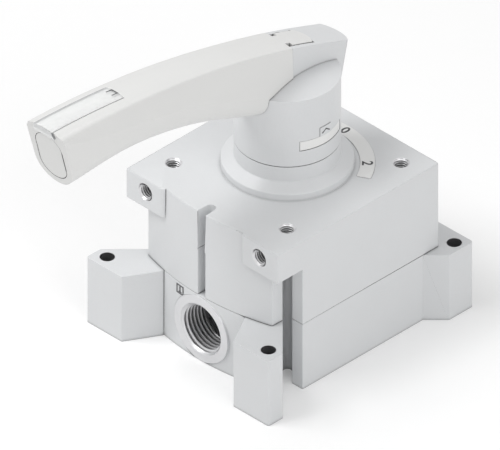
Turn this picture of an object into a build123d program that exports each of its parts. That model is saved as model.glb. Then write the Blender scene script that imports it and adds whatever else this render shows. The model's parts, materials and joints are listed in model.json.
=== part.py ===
from build123d import *
import math
import os

os.makedirs("parts", exist_ok=True)

# Hand lever air valve with a rotary plate, lengths in millimetres.
# The origin is on the spindle's axis at the underside of the base.
# +Z is up the spindle and the lever points along -Y in its middle position.

# Clearances
run_gap = 0.05
press_gap = 0.01
seat_gap = 0.2
grip_gap = 0.15
seal_gap = 0.05

# How far a cutter overshoots a surface, and the run-out below a thread
cut_over = 1.0
thread_runout = 2.0

# Housing block, seen from above
block_width = 80.0
back_y = 40.0
bow_radius = 110.0
bow_front_y = -45.7
corner_round = 0.8
edge_break = 0.35
base_height = 29.5
cover_height = 38.0
notch_x = 32.75
notch_y = -32.0
relief_width = 3.5
relief_end = 27.9

# Feet of the base
foot_pitch_x = 85.0
foot_pitch_y = 98.0
foot_centre_y = -3.5
foot_hole_radius = 2.9
foot_margin = 5.5
foot_corner_round = 1.0
back_foot_margin_x = 4.5
front_foot_toe_x = 29.5
front_foot_root_x = 21.5
foot_root_inset = 1.5
back_foot_shoulder_y = 38.4
back_foot_inner_x = 26.0

# Pipe ports and the passages behind them
port_radius = 10.48
port_mouth_radius = 10.8
port_depth = 15.0
port_height = 14.4
port_boss_radius = 14.25
port_boss_proud = 0.2
port_boss_root = 6.0
bottom_port_x = 17.0
bottom_port_depth = 13.0
passage_radius = 6.5
passage_overrun = 0.8
plate_hole_radius = 4.5
plate_hole_circle = 13.0
drill_tip_angle = 59.0

# Front lugs and tapped holes of the cover
lug_inner_x = 20.0
lug_face_y = -45.0
lug_height = 13.1
lug_round = 2.0
lug_hole_x = 30.0
lug_hole_drop = 6.0
lug_hole_mouth = 3.7
top_hole_pitch = 60.0
top_hole_mouth = 3.2
tapped_radius = 3.0
tapped_depth = 12.0

# Slot in the middle of the cover's front
slot_x = 0.35
slot_width = 4.1
slot_narrow_width = 3.7
slot_end_y = -38.8
slot_ledge_drop = 17.4

# Turned neck of the cover
ring_radius = 25.0
ring_height = 3.0
neck_radius = 20.1
neck_foot_height = 5.5
neck_height = 12.0

# Dial plate on the cover
dial_inner = 27.2
dial_outer = 32.7
dial_half_angle = 63.8
dial_thickness = 0.45
dial_recess = 0.2
dial_corner = 0.5

# Seat, gasket and dowels in the base
seat_radius = 23.0
seat_recess_depth = 4.0
gasket_thickness = 1.0
seat_thickness = 5.0
dowel_radius = 1.5
dowel_circle = 19.0
dowel_depth = 4.0
dowel_angles = (45.0, 225.0)

# Seal between base and cover
seal_circle = 28.5
seal_half_width = 1.3
seal_groove_half_width = 1.5
seal_groove_depth = 2.0

# Rotary disc and the coned spring washer above it
disc_radius = 21.0
disc_thickness = 10.0
kidney_depth = 4.0
flange_lift = 3.5
spring_outer = 13.0
spring_inner = 8.2
spring_thickness = 1.2
spigot_radius = 8.0
spigot_height = 1.5

# Spindle
stem_radius = 7.5
flange_radius = 18.0
flange_thickness = 4.0
dog_inner = 13.5
dog_outer = 17.5
dog_width = 6.0
dog_reach = 6.5
notch_circle = 18.6
detent_notch_radius = 1.7
square_side = 10.0
square_height = 16.0
square_start = 1.5
stem_ring_drops = (12.5, 17.5)
stem_ring_radius = 0.8
stem_groove_depth = 1.6
stem_groove_width = 2.0

# Lever travel and its stop pin
lever_swing = 45.0
stop_pin_circle = 13.5
stop_pin_radius = 1.75
stop_pin_height = 10.5
stop_pin_gap = 0.1

# Bushes, thrust washer and wiper in the cover
cavity_radius = 26.0
washer_thickness = 1.5
washer_radius = 11.3
bush_wall = 1.95
lower_bush_height = 7.5
upper_bush_height = 7.5
bush_flange_radius = 12.0
bush_flange_height = 1.5
wiper_inner = 15.0
wiper_outer = 18.0
wiper_depth = 2.0

# Leaf springs of the detent
leaf_thickness = 0.6
leaf_height = 3.6
leaf_bow_radius = 22.5
leaf_end_angle = 45.0
nose_radius = 1.5

# Screws that hold the cover
cover_screw_front = (24.0, -34.0)
cover_screw_back = (31.0, 32.0)
cover_screw_radius = 2.5
cover_screw_reach = 11.0
cover_screw_hole = 2.75
cover_head_radius = 4.25
cover_head_height = 5.0
cover_head_bore = 4.75
cover_head_depth = 8.0
cover_key_size = 4.0
cover_key_depth = 2.5

# Hub of the lever
hub_radius = 20.1
hub_height = 29.5
hub_lift = 0.3
dome_height = 3.7
spine_half_width = 7.5
rib_half_width = 7.3
rib_nose_radius = 11.35
rib_top_y = 27.3
tail_radius = 25.3
tail_flare_drop = 6.3
core_pocket_inner = 9.5
core_pocket_outer = 14.0
core_pocket_height = 18.0
band_low = 6.6
band_height = 4.4
band_half_angle = 32.0
band_depth = 0.4
tab_half_angle = 8.0
tab_height = 3.9
tab_proud = 0.3

# Screw that clamps the hub on the spindle
hub_screw_radius = 3.0
hub_screw_length = 20.0
hub_screw_hole = 3.3
hub_head_radius = 5.0
hub_head_height = 6.0
hub_head_bore = 5.7
hub_key_size = 5.0
hub_key_depth = 3.0
hub_washer_thickness = 1.0
hub_web = 9.0

# Lever arm: its upper edge is one arc through three points, given by y and by the
# height above the hub's underside
top_tail = (24.5, 35.3)
top_middle = (-51.0, 58.0)
top_tip = (-128.1, 66.8)
tip_lean = 14.5
tip_crown = 1.8
hub_crown = 0.1
split_y = -4.8
grip_wall = 2.8
grip_top_wall = 4.0
bottom_round_margin = 0.5
tang_half_width = 4.2
tang_length = 75.0
side_step = 0.4

# Stations along the lever: place as a share of the way from tail to tip, half width
# on top, corner radius, half width and height of the side crease, height of the
# underside, with heights counted from the hub's underside
lever_stations = (
    (0.069, 7.5, 0.6, 7.6, 28.2, 19.2),
    (0.193, 7.5, 0.6, 8.1, 30.2, 18.7),
    (0.305, 7.5, 0.6, 9.0, 32.2, 21.2),
    (0.423, 7.8, 0.8, 9.3, 39.7, 28.5),
    (0.560, 8.3, 1.0, 9.6, 47.8, 35.4),
    (0.731, 8.9, 1.4, 10.0, 54.3, 40.1),
    (0.908, 9.4, 1.8, 10.2, 59.8, 39.8),
    (0.978, 9.5, 2.0, 10.2, 63.3, 39.3),
    (1.039, 9.6, 2.2, 10.2, 64.4, 38.8),
)

# Tongue of the grip over the hub
tongue_half_width = 5.2
tongue_end_y = 8.0
tongue_arch = 1.8
tongue_thickness = 3.0
root_notch_x = 3.4
root_notch_y = -2.3

# Label window and end plug
label_half_width = 4.7
label_length = 37.3
label_arch = 0.2
label_cover_thickness = 0.8
label_card_thickness = 0.3
label_proud = 0.25
label_lip_drop = 1.8
label_lip_half_width = 5.4
label_side_gap = 0.1
card_gap = 0.05
nail_length = 3.0
nail_half_width = 1.3
nail_depth = 0.6
plug_width = 14.2
plug_height = 22.8
plug_drop = 2.6
plug_plate = 2.0
plug_skirt = 6.0
plug_wall = 1.5
tip_wall = 4.0

# Heights that follow from the sizes above
seam_z = base_height
cover_top_z = base_height + cover_height
neck_top_z = cover_top_z + neck_height
lug_low_z = cover_top_z - lug_height
seat_floor_z = base_height - seat_recess_depth
seat_low_z = seat_floor_z + gasket_thickness
seat_top_z = seat_low_z + seat_thickness
disc_top_z = seat_top_z + disc_thickness
flange_low_z = disc_top_z + flange_lift
flange_top_z = flange_low_z + flange_thickness
cavity_top_z = flange_top_z + washer_thickness
hub_low_z = neck_top_z + hub_lift
hub_shoulder_z = hub_low_z + hub_height
dome_top_z = hub_shoulder_z + dome_height
square_low_z = hub_low_z + square_start
square_top_z = square_low_z + square_height
hub_web_top_z = square_top_z + hub_web
bush_radius = stem_radius + run_gap + bush_wall
above_all_z = hub_low_z + 2 * top_tip[1]
tail_top_z = hub_low_z + top_tail[1]
label_start_y = top_tip[0] + label_length
bow_centre_y = bow_front_y + bow_radius
port_face_y = bow_front_y - port_boss_proud
foot_hole_x = foot_pitch_x / 2
foot_front_y = foot_centre_y - foot_pitch_y / 2
foot_back_y = foot_centre_y + foot_pitch_y / 2

tip_plane = Plane(
    origin=(0, top_tip[0], hub_low_z + top_tip[1]),
    x_dir=(1, 0, 0),
    z_dir=(0, -math.cos(math.radians(tip_lean)), -math.sin(math.radians(tip_lean))),
)
side_plane = Plane(origin=(0, 0, 0), x_dir=(0, 1, 0), z_dir=(1, 0, 0))


def post(radius, low, high, x=0.0, y=0.0):
    """Upright cylinder between two heights."""
    return Pos(x, y, (low + high) / 2) * Cylinder(radius, high - low)


def tube(outer, inner, low, high):
    """Upright tube about the spindle's axis."""
    return post(outer, low, high) - post(inner, low, high)


def block(x_range, y_range, z_range):
    """Box between three pairs of limits."""
    size = [high - low for low, high in (x_range, y_range, z_range)]
    middle = [(high + low) / 2 for low, high in (x_range, y_range, z_range)]
    return Pos(*middle) * Box(*size)


def prism(sketch, low, high):
    """Sketch seen from above, raised between two heights."""
    return extrude(Pos(0, 0, low) * sketch, high - low)


def both_sides(shape):
    """A shape together with its mirror image on the other side of the lever's plane."""
    return shape + mirror(shape, about=Plane.YZ)


def turned(points):
    """Solid turned about the spindle's axis from an outline of radius and height."""
    return revolve(make_face(Plane.XZ * Polyline(*points, close=True)), axis=Axis.Z)


def drilled(radius, mouth, depth):
    """Cutter for a chamfered blind hole that goes down from the origin."""
    tip = radius / math.tan(math.radians(drill_tip_angle))
    chamfer_depth = mouth - radius
    outline = [(0, cut_over), (mouth, cut_over), (mouth, 0), (radius, -chamfer_depth)]
    outline += [(radius, -depth), (0, -depth - tip)]
    return turned(outline)


def on_circle(radius, angle):
    """Point at a radius and an angle about the spindle's axis."""
    return (radius * math.cos(math.radians(angle)), radius * math.sin(math.radians(angle)))


def arc_slot(circle, half_width, middle_angle, half_angle):
    """Kidney-shaped outline that follows a circle about the spindle's axis."""
    start = middle_angle - half_angle
    band = CenterArc((0, 0), circle + half_width, start, 2 * half_angle)
    inner = CenterArc((0, 0), circle - half_width, start, 2 * half_angle)
    sides = [Line(band @ 0, inner @ 0), Line(band @ 1, inner @ 1)]
    slot = make_face([band, inner] + sides)
    for end_angle in (start, start + 2 * half_angle):
        slot += Pos(*on_circle(circle, end_angle)) * Circle(half_width)
    return slot


def lever_top(y):
    """Height of the lever's upper edge at y, on an arc through three points."""
    (y1, z1), (y2, z2), (y3, z3) = top_tail, top_middle, top_tip
    d = 2 * (y1 * (z2 - z3) + y2 * (z3 - z1) + y3 * (z1 - z2))
    s1, s2, s3 = y1 * y1 + z1 * z1, y2 * y2 + z2 * z2, y3 * y3 + z3 * z3
    centre_y = (s1 * (z2 - z3) + s2 * (z3 - z1) + s3 * (z1 - z2)) / d
    centre_z = (s1 * (y3 - y2) + s2 * (y1 - y3) + s3 * (y2 - y1)) / d
    radius = math.hypot(y1 - centre_y, z1 - centre_z)
    return hub_low_z + centre_z + math.sqrt(radius * radius - (y - centre_y) ** 2)


def lever_crown(y):
    """Rise of the lever's top at y, from its edges to its middle."""
    along = (y - top_tail[0]) / (top_tip[0] - top_tail[0])
    return hub_crown + (tip_crown - hub_crown) * min(along, 1.0)


def lever_section(station, side_inset=0.0, top_inset=0.0):
    """Cross-section of the lever at one station, narrowed for a cavity."""
    along, top_half, corner, crease_half, crease_height, bottom_height = station
    y = top_tail[0] + along * (top_tip[0] - top_tail[0])
    top_z = lever_top(y) - top_inset
    top_half -= side_inset
    crease_half -= side_inset
    bottom_z = hub_low_z + bottom_height + side_inset
    crease_z = min(hub_low_z + crease_height, top_z - corner - side_step)
    crown = lever_crown(y)
    half_diagonal = corner * math.sqrt(0.5)
    round_radius = crease_half - bottom_round_margin
    round_z = bottom_z + round_radius
    rise = math.atan2(crease_z - round_z, crease_half)
    reach = math.hypot(crease_z - round_z, crease_half)
    touch = rise - math.acos(round_radius / reach)
    touch_point = (round_radius * math.cos(touch), round_z + round_radius * math.sin(touch))
    right = [
        (top_half - corner, top_z),
        (top_half - corner + half_diagonal, top_z - corner + half_diagonal),
        (top_half, top_z - corner),
        (crease_half, crease_z),
        touch_point,
    ]
    left = [(-x, z) for x, z in right]
    outline = Curve() + [
        ThreePointArc(left[0], (0, top_z + crown), right[0]),
        ThreePointArc(*right[:3]),
        Line(right[2], right[3]),
        Line(right[3], right[4]),
        ThreePointArc(right[4], (0, bottom_z), left[4]),
        Line(left[4], left[3]),
        Line(left[3], left[2]),
        ThreePointArc(left[2], left[1], left[0]),
    ]
    station_plane = Plane(origin=(0, y, 0), x_dir=(1, 0, 0), z_dir=(0, -1, 0))
    return station_plane * make_face(outline)


def lever_form(side_inset=0.0, top_inset=0.0):
    """Lofted form of the lever arm, or of the space inside it."""
    return loft([lever_section(station, side_inset, top_inset) for station in lever_stations])


def drum_form(grow=0.0):
    """Turned form of the hub: a drum under a shallow dome."""
    radius = hub_radius + grow
    shoulder = hub_shoulder_z + grow
    dome = TangentArc((0, dome_top_z + grow), (radius, shoulder), tangent=(1, 0))
    sides = Polyline((radius, shoulder), (radius, hub_low_z), (0, hub_low_z), (0, dome_top_z + grow))
    return revolve(make_face(Plane.XZ * (Curve() + [dome, sides])), axis=Axis.Z)


def block_outline():
    """Outline of the housing from above, with its bowed front."""
    depth = back_y - bow_front_y
    outline = Pos(0, (back_y + bow_front_y) / 2) * Rectangle(block_width, depth)
    outline &= Pos(0, bow_centre_y) * Circle(bow_radius)
    back_corners = outline.vertices().group_by(Axis.Y)[-1]
    return fillet(back_corners, corner_round)


def wall_outline():
    """Outline of the housing with its front corners notched."""
    outline = block_outline()
    half = block_width / 2
    notch_width = half - notch_x
    notch_depth = notch_y - bow_front_y
    for side in (-1, 1):
        centre = (side * (notch_x + notch_width), notch_y - notch_depth)
        outline -= Pos(*centre) * Rectangle(2 * notch_width, 2 * notch_depth)
    return outline


def make_lug():
    """Front lug on the right, which fills the notch in the top of the cover."""
    half = block_width / 2
    middle = ((lug_inner_x + half) / 2, lug_face_y / 2)
    outline = Pos(*middle) * Rectangle(half - lug_inner_x, -lug_face_y)
    inner_corner = outline.vertices().sort_by(lambda v: v.X + v.Y)[0]
    lug = prism(fillet(inner_corner, lug_round), lug_low_z, cover_top_z)
    rim = lug.faces().sort_by(Axis.Z)[-1].edges()
    front = rim.filter_by(lambda e: e.center().Y < lug_face_y + lug_round)
    return chamfer(front + rim.sort_by(Axis.X)[-1:], edge_break)


def relief_slots(low, high):
    """Diagonal slots that run from the notched corners towards the spindle."""
    reach = block_width / 2
    slot = Pos(reach, 0) * Rectangle(2 * reach, relief_width) + Circle(relief_width / 2)
    one = Pos(relief_end, -relief_end) * Rot(0, 0, -45) * slot
    return both_sides(prism(one, low, high))


def foot_outlines():
    """Outlines of the two feet on the right, front and back."""
    half = block_width / 2
    relief_edge = relief_width / math.sqrt(2)
    outer_x = foot_hole_x + foot_margin
    front_y = foot_front_y - foot_margin
    front = Polyline(
        (outer_x, front_y),
        (front_foot_toe_x, front_y),
        (front_foot_root_x, bow_front_y + foot_root_inset),
        (front_foot_root_x, notch_y),
        (notch_x - relief_width, notch_y),
        (notch_x, -notch_x - relief_edge),
        (outer_x, -outer_x - relief_edge),
        close=True,
    )
    back_x = foot_hole_x + back_foot_margin_x
    rear_y = foot_back_y + foot_margin
    shoulder_in = back_x - half
    back = Polyline(
        (back_x, rear_y),
        (back_x, back_foot_shoulder_y),
        (half, back_foot_shoulder_y - shoulder_in),
        (half - foot_margin, back_foot_shoulder_y - shoulder_in),
        (back_foot_inner_x - foot_margin, back_y),
        (back_foot_inner_x, rear_y),
        close=True,
    )
    faces = []
    for outline in (front, back):
        face = make_face(outline)
        corner = face.vertices().sort_by(lambda v: v.X + abs(v.Y - foot_centre_y))[-1]
        faces.append(fillet(corner, foot_corner_round))
    return faces


def make_base():
    """Lower housing with its feet, ports, passages and seat."""
    walls = prism(wall_outline(), 0, base_height)
    walls = chamfer(walls.faces().sort_by(Axis.Z)[-1].edges(), edge_break)
    body = walls + both_sides(prism(Sketch() + foot_outlines(), 0, base_height))
    body -= relief_slots(-cut_over, base_height + cut_over)
    boss_depth = port_boss_proud + port_boss_root
    boss = Cylinder(port_boss_radius, boss_depth)
    body += Pos(0, port_face_y + boss_depth / 2, port_height) * Rot(90, 0, 0) * boss

    for x in (-foot_hole_x, foot_hole_x):
        for y in (foot_front_y, foot_back_y):
            body -= post(foot_hole_radius, -cut_over, base_height + cut_over, x, y)

    side_port = drilled(port_radius, port_mouth_radius, port_depth)
    half = block_width / 2
    for face, turn in (
        ((0, port_face_y), (90, 0, 0)),
        ((0, back_y), (-90, 0, 0)),
        ((-half, 0), (0, -90, 0)),
    ):
        body -= Pos(face[0], face[1], port_height) * Rot(*turn) * side_port
        reach = math.hypot(*face) - plate_hole_circle + plate_hole_radius + passage_overrun
        passage = Pos(0, 0, -reach / 2) * Cylinder(passage_radius, reach)
        body -= Pos(face[0], face[1], port_height) * Rot(*turn) * passage
    bottom_port = drilled(port_radius, port_mouth_radius, bottom_port_depth)
    body -= Pos(bottom_port_x, 0, 0) * Rot(180, 0, 0) * bottom_port

    for angle in (0, 90, 180, 270):
        x, y = on_circle(plate_hole_circle, angle)
        low = bottom_port_depth - cut_over if angle == 0 else port_height
        body -= post(plate_hole_radius, low, base_height + cut_over, x, y)
    body -= post(seat_radius + seat_gap, seat_floor_z, base_height + cut_over)
    for angle in dowel_angles:
        x, y = on_circle(dowel_circle, angle)
        body -= post(dowel_radius + press_gap, seat_floor_z - dowel_depth, seat_floor_z + cut_over, x, y)
    groove_outer = seal_circle + seal_groove_half_width
    groove_inner = seal_circle - seal_groove_half_width
    body -= tube(groove_outer, groove_inner, base_height - seal_groove_depth, base_height + cut_over)

    for x, y in cover_screw_places():
        body -= post(cover_screw_hole, -cut_over, base_height + cut_over, x, y)
        body -= post(cover_head_bore, -cut_over, cover_head_depth, x, y)
    return body


def cover_screw_places():
    """Places of the four screws that pull the cover down on the base."""
    places = [cover_screw_front, cover_screw_back]
    return places + [(-x, y) for x, y in places]


def make_cover():
    """Upper housing with its lugs, slots, neck and spindle bore."""
    top = prism(block_outline(), lug_low_z, cover_top_z)
    top = chamfer(top.faces().sort_by(Axis.Z)[-1].edges(), edge_break)
    walls = prism(wall_outline(), seam_z, lug_low_z)
    body = walls - relief_slots(seam_z - cut_over, lug_low_z + cut_over) + top + both_sides(make_lug())

    foot_z = cover_top_z + neck_foot_height
    body += turned([
        (0, cover_top_z - cut_over),
        (ring_radius, cover_top_z - cut_over),
        (ring_radius, cover_top_z + ring_height),
        (neck_radius, foot_z),
        (neck_radius, neck_top_z),
        (0, neck_top_z),
    ])

    ledge_z = cover_top_z - slot_ledge_drop
    end_y = slot_end_y - slot_width / 2
    length = end_y - bow_front_y + cut_over
    for width, low, high in (
        (slot_narrow_width, seam_z - cut_over, ledge_z),
        (slot_width, ledge_z, cover_top_z + cut_over),
    ):
        slot = Pos(slot_x, end_y - length / 2) * Rectangle(width, length)
        slot += Pos(slot_x, end_y) * Circle(width / 2)
        body -= prism(slot, low, high)

    hole = drilled(tapped_radius, top_hole_mouth, tapped_depth)
    for x in (-top_hole_pitch / 2, top_hole_pitch / 2):
        for y in (-top_hole_pitch / 2, top_hole_pitch / 2):
            body -= Pos(x, y, cover_top_z) * hole
    lug_hole = drilled(tapped_radius, lug_hole_mouth, tapped_depth)
    for x in (-lug_hole_x, lug_hole_x):
        place = Pos(x, lug_face_y, cover_top_z - lug_hole_drop)
        body -= place * Rot(90, 0, 0) * lug_hole

    body -= post(cavity_radius, seam_z - cut_over, cavity_top_z)
    body -= post(stem_radius + seal_gap + run_gap, cavity_top_z - cut_over, neck_top_z + cut_over)
    bush_bore = bush_radius + press_gap
    body -= post(bush_bore, cavity_top_z - cut_over, cavity_top_z + lower_bush_height)
    body -= post(bush_bore, neck_top_z - upper_bush_height, neck_top_z + cut_over)
    body -= post(bush_flange_radius + press_gap, neck_top_z - bush_flange_height, neck_top_z + cut_over)
    body -= tube(wiper_outer, wiper_inner, neck_top_z - wiper_depth, neck_top_z + cut_over)

    pin_x, pin_y = on_circle(stop_pin_circle, 90)
    pin_top = flange_low_z + seat_gap + stop_pin_height
    body -= post(stop_pin_radius + press_gap, cavity_top_z - cut_over, pin_top, pin_x, pin_y)
    body -= prism(dial_outline(seal_gap), cover_top_z - dial_recess, cover_top_z + cut_over)
    for x, y in cover_screw_places():
        screw_top = seam_z + cover_screw_reach + thread_runout
        body -= post(cover_screw_radius + press_gap, seam_z - cut_over, screw_top, x, y)
    return body


def dial_outline(grow=0.0):
    """Crescent behind the neck that carries the position numbers."""
    middle = (dial_inner + dial_outer) / 2
    half_width = (dial_outer - dial_inner) / 2 + grow
    extra = math.degrees(grow / middle)
    half_angle = dial_half_angle + extra
    outer = CenterArc((0, 0), middle + half_width, 90 - half_angle, 2 * half_angle)
    inner = CenterArc((0, 0), middle - half_width, 90 - half_angle, 2 * half_angle)
    ends = [Line(outer @ 0, inner @ 0), Line(outer @ 1, inner @ 1)]
    face = make_face([outer, inner] + ends)
    return fillet(face.vertices(), dial_corner)


def make_dial():
    """Dial plate in its shallow recess."""
    low = cover_top_z - dial_recess
    return prism(dial_outline(), low, low + dial_thickness)


def make_seal():
    """Flat-sided ring seal between base and cover."""
    low = base_height - seal_groove_depth
    high = base_height - seal_gap
    return tube(seal_circle + seal_half_width, seal_circle - seal_half_width, low, high)


def seat_disc(radius, low, high):
    """Plate with the four passage holes and the two dowel holes."""
    plate = post(radius, low, high)
    below = low - cut_over
    above = high + cut_over
    for angle in (0, 90, 180, 270):
        plate -= post(plate_hole_radius, below, above, *on_circle(plate_hole_circle, angle))
    for angle in dowel_angles:
        plate -= post(dowel_radius + press_gap, below, above, *on_circle(dowel_circle, angle))
    return plate


def make_dowels():
    """Two pins that keep the seat plate from turning."""
    low = seat_floor_z - dowel_depth
    high = seat_top_z - seat_gap
    return Part() + [post(dowel_radius, low, high, *on_circle(dowel_circle, a)) for a in dowel_angles]


def make_disc():
    """Rotary disc with two kidney chambers below and drive slots above."""
    disc = post(disc_radius, seat_top_z, disc_top_z)
    for angle in (-90, 90):
        kidney = arc_slot(plate_hole_circle, plate_hole_radius, angle, lever_swing)
        disc -= prism(kidney, seat_top_z - cut_over, seat_top_z + kidney_depth)
    slot_half = dog_width / 2 + seal_gap
    slot_floor = flange_low_z - dog_reach - seat_gap
    for side in (-1, 1):
        near = side * (dog_inner - seat_gap)
        far = side * (disc_radius + cut_over)
        x_range = (min(near, far), max(near, far))
        disc -= block(x_range, (-slot_half, slot_half), (slot_floor, disc_top_z + cut_over))
    return disc


def make_disc_spring():
    """Coned spring washer that presses the disc on its seat."""
    return turned([
        (spring_outer, disc_top_z),
        (spring_outer, disc_top_z + spring_thickness),
        (spring_inner, flange_low_z),
        (spring_inner, flange_low_z - spring_thickness),
    ])


def make_spindle():
    """Spindle with its detent flange, drive dogs, ring grooves and square end."""
    spindle = post(stem_radius, flange_low_z, square_low_z)
    spindle += post(flange_radius, flange_low_z, flange_top_z)
    spindle += post(spigot_radius, flange_low_z - spigot_height, flange_low_z + cut_over)
    half = square_side / 2
    spindle += block((-half, half), (-half, half), (square_low_z - cut_over, square_top_z))
    dog_half = dog_width / 2
    for side in (-1, 1):
        x_range = sorted((side * dog_inner, side * dog_outer))
        z_range = (flange_low_z - dog_reach, flange_low_z + cut_over)
        spindle += block(x_range, (-dog_half, dog_half), z_range)
    for angle in (0, lever_swing, -lever_swing):
        for opposite in (0, 180):
            place = on_circle(notch_circle, angle + opposite)
            spindle -= post(detent_notch_radius, flange_low_z - cut_over, flange_top_z + cut_over, *place)
    stop_slot = arc_slot(stop_pin_circle, stop_pin_radius + stop_pin_gap, 90, lever_swing)
    spindle -= prism(stop_slot, flange_low_z - cut_over, flange_top_z + cut_over)
    for z in stem_ring_heights():
        low = z - stem_groove_width / 2
        high = z + stem_groove_width / 2
        spindle -= tube(stem_radius + cut_over, stem_radius - stem_groove_depth, low, high)
    thread_low = hub_web_top_z + hub_washer_thickness - hub_screw_length - thread_runout
    spindle -= post(hub_screw_radius + press_gap, thread_low, square_top_z + cut_over)
    return spindle


def stem_ring_heights():
    """Heights of the two ring seals, counted down from the top of the neck."""
    return [neck_top_z - drop for drop in stem_ring_drops]


def make_stem_rings():
    """Two ring seals in the grooves of the spindle."""
    ring_circle = stem_radius - stem_groove_depth + seal_gap + stem_ring_radius
    rings = Part()
    for z in stem_ring_heights():
        rings += Pos(0, 0, z) * Torus(ring_circle, stem_ring_radius)
    return rings


def make_thrust_washer():
    """Washer between the spindle's flange and the cover."""
    return tube(washer_radius, stem_radius + run_gap, flange_top_z, cavity_top_z)


def make_lower_bush():
    """Plain bush above the thrust washer."""
    return tube(bush_radius, stem_radius + run_gap, cavity_top_z, cavity_top_z + lower_bush_height)


def make_upper_bush():
    """Flanged bush in the top of the neck."""
    low = neck_top_z - upper_bush_height
    bush = post(bush_radius, low, neck_top_z)
    bush += post(bush_flange_radius, neck_top_z - bush_flange_height, neck_top_z)
    return bush - post(stem_radius + run_gap, low - cut_over, neck_top_z + cut_over)


def make_wiper():
    """Dust wiper between neck and hub, with a bevelled lip."""
    low = neck_top_z - wiper_depth
    lip_z = hub_low_z - seal_gap
    lip_x = wiper_outer - (wiper_outer - wiper_inner) / 3
    return turned([
        (wiper_inner + seal_gap, low),
        (wiper_outer - seal_gap, low),
        (wiper_outer - seal_gap, lip_z),
        (lip_x, lip_z),
        (wiper_inner + seal_gap, neck_top_z - seal_gap),
    ])


def make_stop_pin():
    """Pin in the cover that ends the spindle's travel."""
    x, y = on_circle(stop_pin_circle, 90)
    low = flange_low_z + seat_gap
    return post(stop_pin_radius, low, low + stop_pin_height, x, y)


def make_detent_springs():
    """Two bowed leaf springs whose noses rest in the spindle's notches."""
    end = on_circle(cavity_radius - leaf_thickness, leaf_end_angle)
    bow = ThreePointArc((end[0], -end[1]), (leaf_bow_radius, 0), end)
    strip = trace(bow, leaf_thickness)
    nose_length = leaf_bow_radius - notch_circle
    nose = Pos(notch_circle, 0) * Circle(nose_radius)
    nose += Pos(notch_circle + nose_length / 2, 0) * Rectangle(nose_length, 2 * nose_radius)
    hollow = nose_radius - leaf_thickness
    nose -= Pos(notch_circle, 0) * Circle(hollow)
    nose -= Pos(notch_circle + nose_length, 0) * Rectangle(2 * nose_length, 2 * hollow)
    middle = (flange_low_z + flange_top_z) / 2
    leaf = prism(strip + nose, middle - leaf_height / 2, middle + leaf_height / 2)
    return both_sides(leaf)


def cap_screw(radius, head_radius, head_height, reach, key_size, key_depth):
    """Socket cap screw with its head below the origin and its shank above it."""
    head = post(head_radius, -head_height, 0)
    head = chamfer(head.edges().sort_by(Axis.Z)[0], edge_break)
    key = RegularPolygon(key_size / 2, 6, major_radius=False)
    head -= prism(key, -head_height - cut_over, key_depth - head_height)
    shank = post(radius, -head_height + key_depth, reach)
    shank = chamfer(shank.edges().sort_by(Axis.Z)[-1], edge_break)
    return head + shank


def make_cover_screws():
    """Four screws from below that hold base and cover together."""
    reach = seam_z + cover_screw_reach - cover_head_depth
    screw = cap_screw(
        cover_screw_radius, cover_head_radius, cover_head_height,
        reach, cover_key_size, cover_key_depth,
    )
    return Part() + [Pos(x, y, cover_head_depth) * screw for x, y in cover_screw_places()]


def spine_outline():
    """Side view of the hub's back half under the lever's upper edge."""
    y_back = rib_top_y + cut_over
    y_middle = (split_y + y_back) / 2
    edge = ThreePointArc(*[(y, lever_top(y)) for y in (split_y, y_middle, y_back)])
    ends = Polyline(
        (y_back, lever_top(y_back)),
        (y_back, hub_low_z),
        (split_y, hub_low_z),
        (split_y, lever_top(split_y)),
    )
    return side_plane * make_face(Curve() + [edge, ends])


def tongue_outline(grow=0.0):
    """Outline of the grip's tongue from above, with its arched end."""
    half = tongue_half_width + grow
    end_y = tongue_end_y + grow
    arch = ThreePointArc((half, end_y), (0, end_y + tongue_arch), (-half, end_y))
    sides = Polyline((-half, end_y), (-half, split_y - cut_over), (half, split_y - cut_over), (half, end_y))
    return make_face(Curve() + [arch, sides])


def tongue_form(grow=0.0):
    """Top layer of the lever inside the tongue's outline."""
    column = prism(tongue_outline(grow), hub_low_z, above_all_z)
    layer = column & lever_form()
    return layer - Pos(0, 0, -tongue_thickness - grow) * (column & lever_form())


def root_notches():
    """Two notches that relieve the corners at the tongue's root."""
    low = lever_top(split_y) - tongue_thickness
    x_range = (root_notch_x, tongue_half_width)
    return both_sides(block(x_range, (split_y, root_notch_y), (low, above_all_z)))


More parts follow.
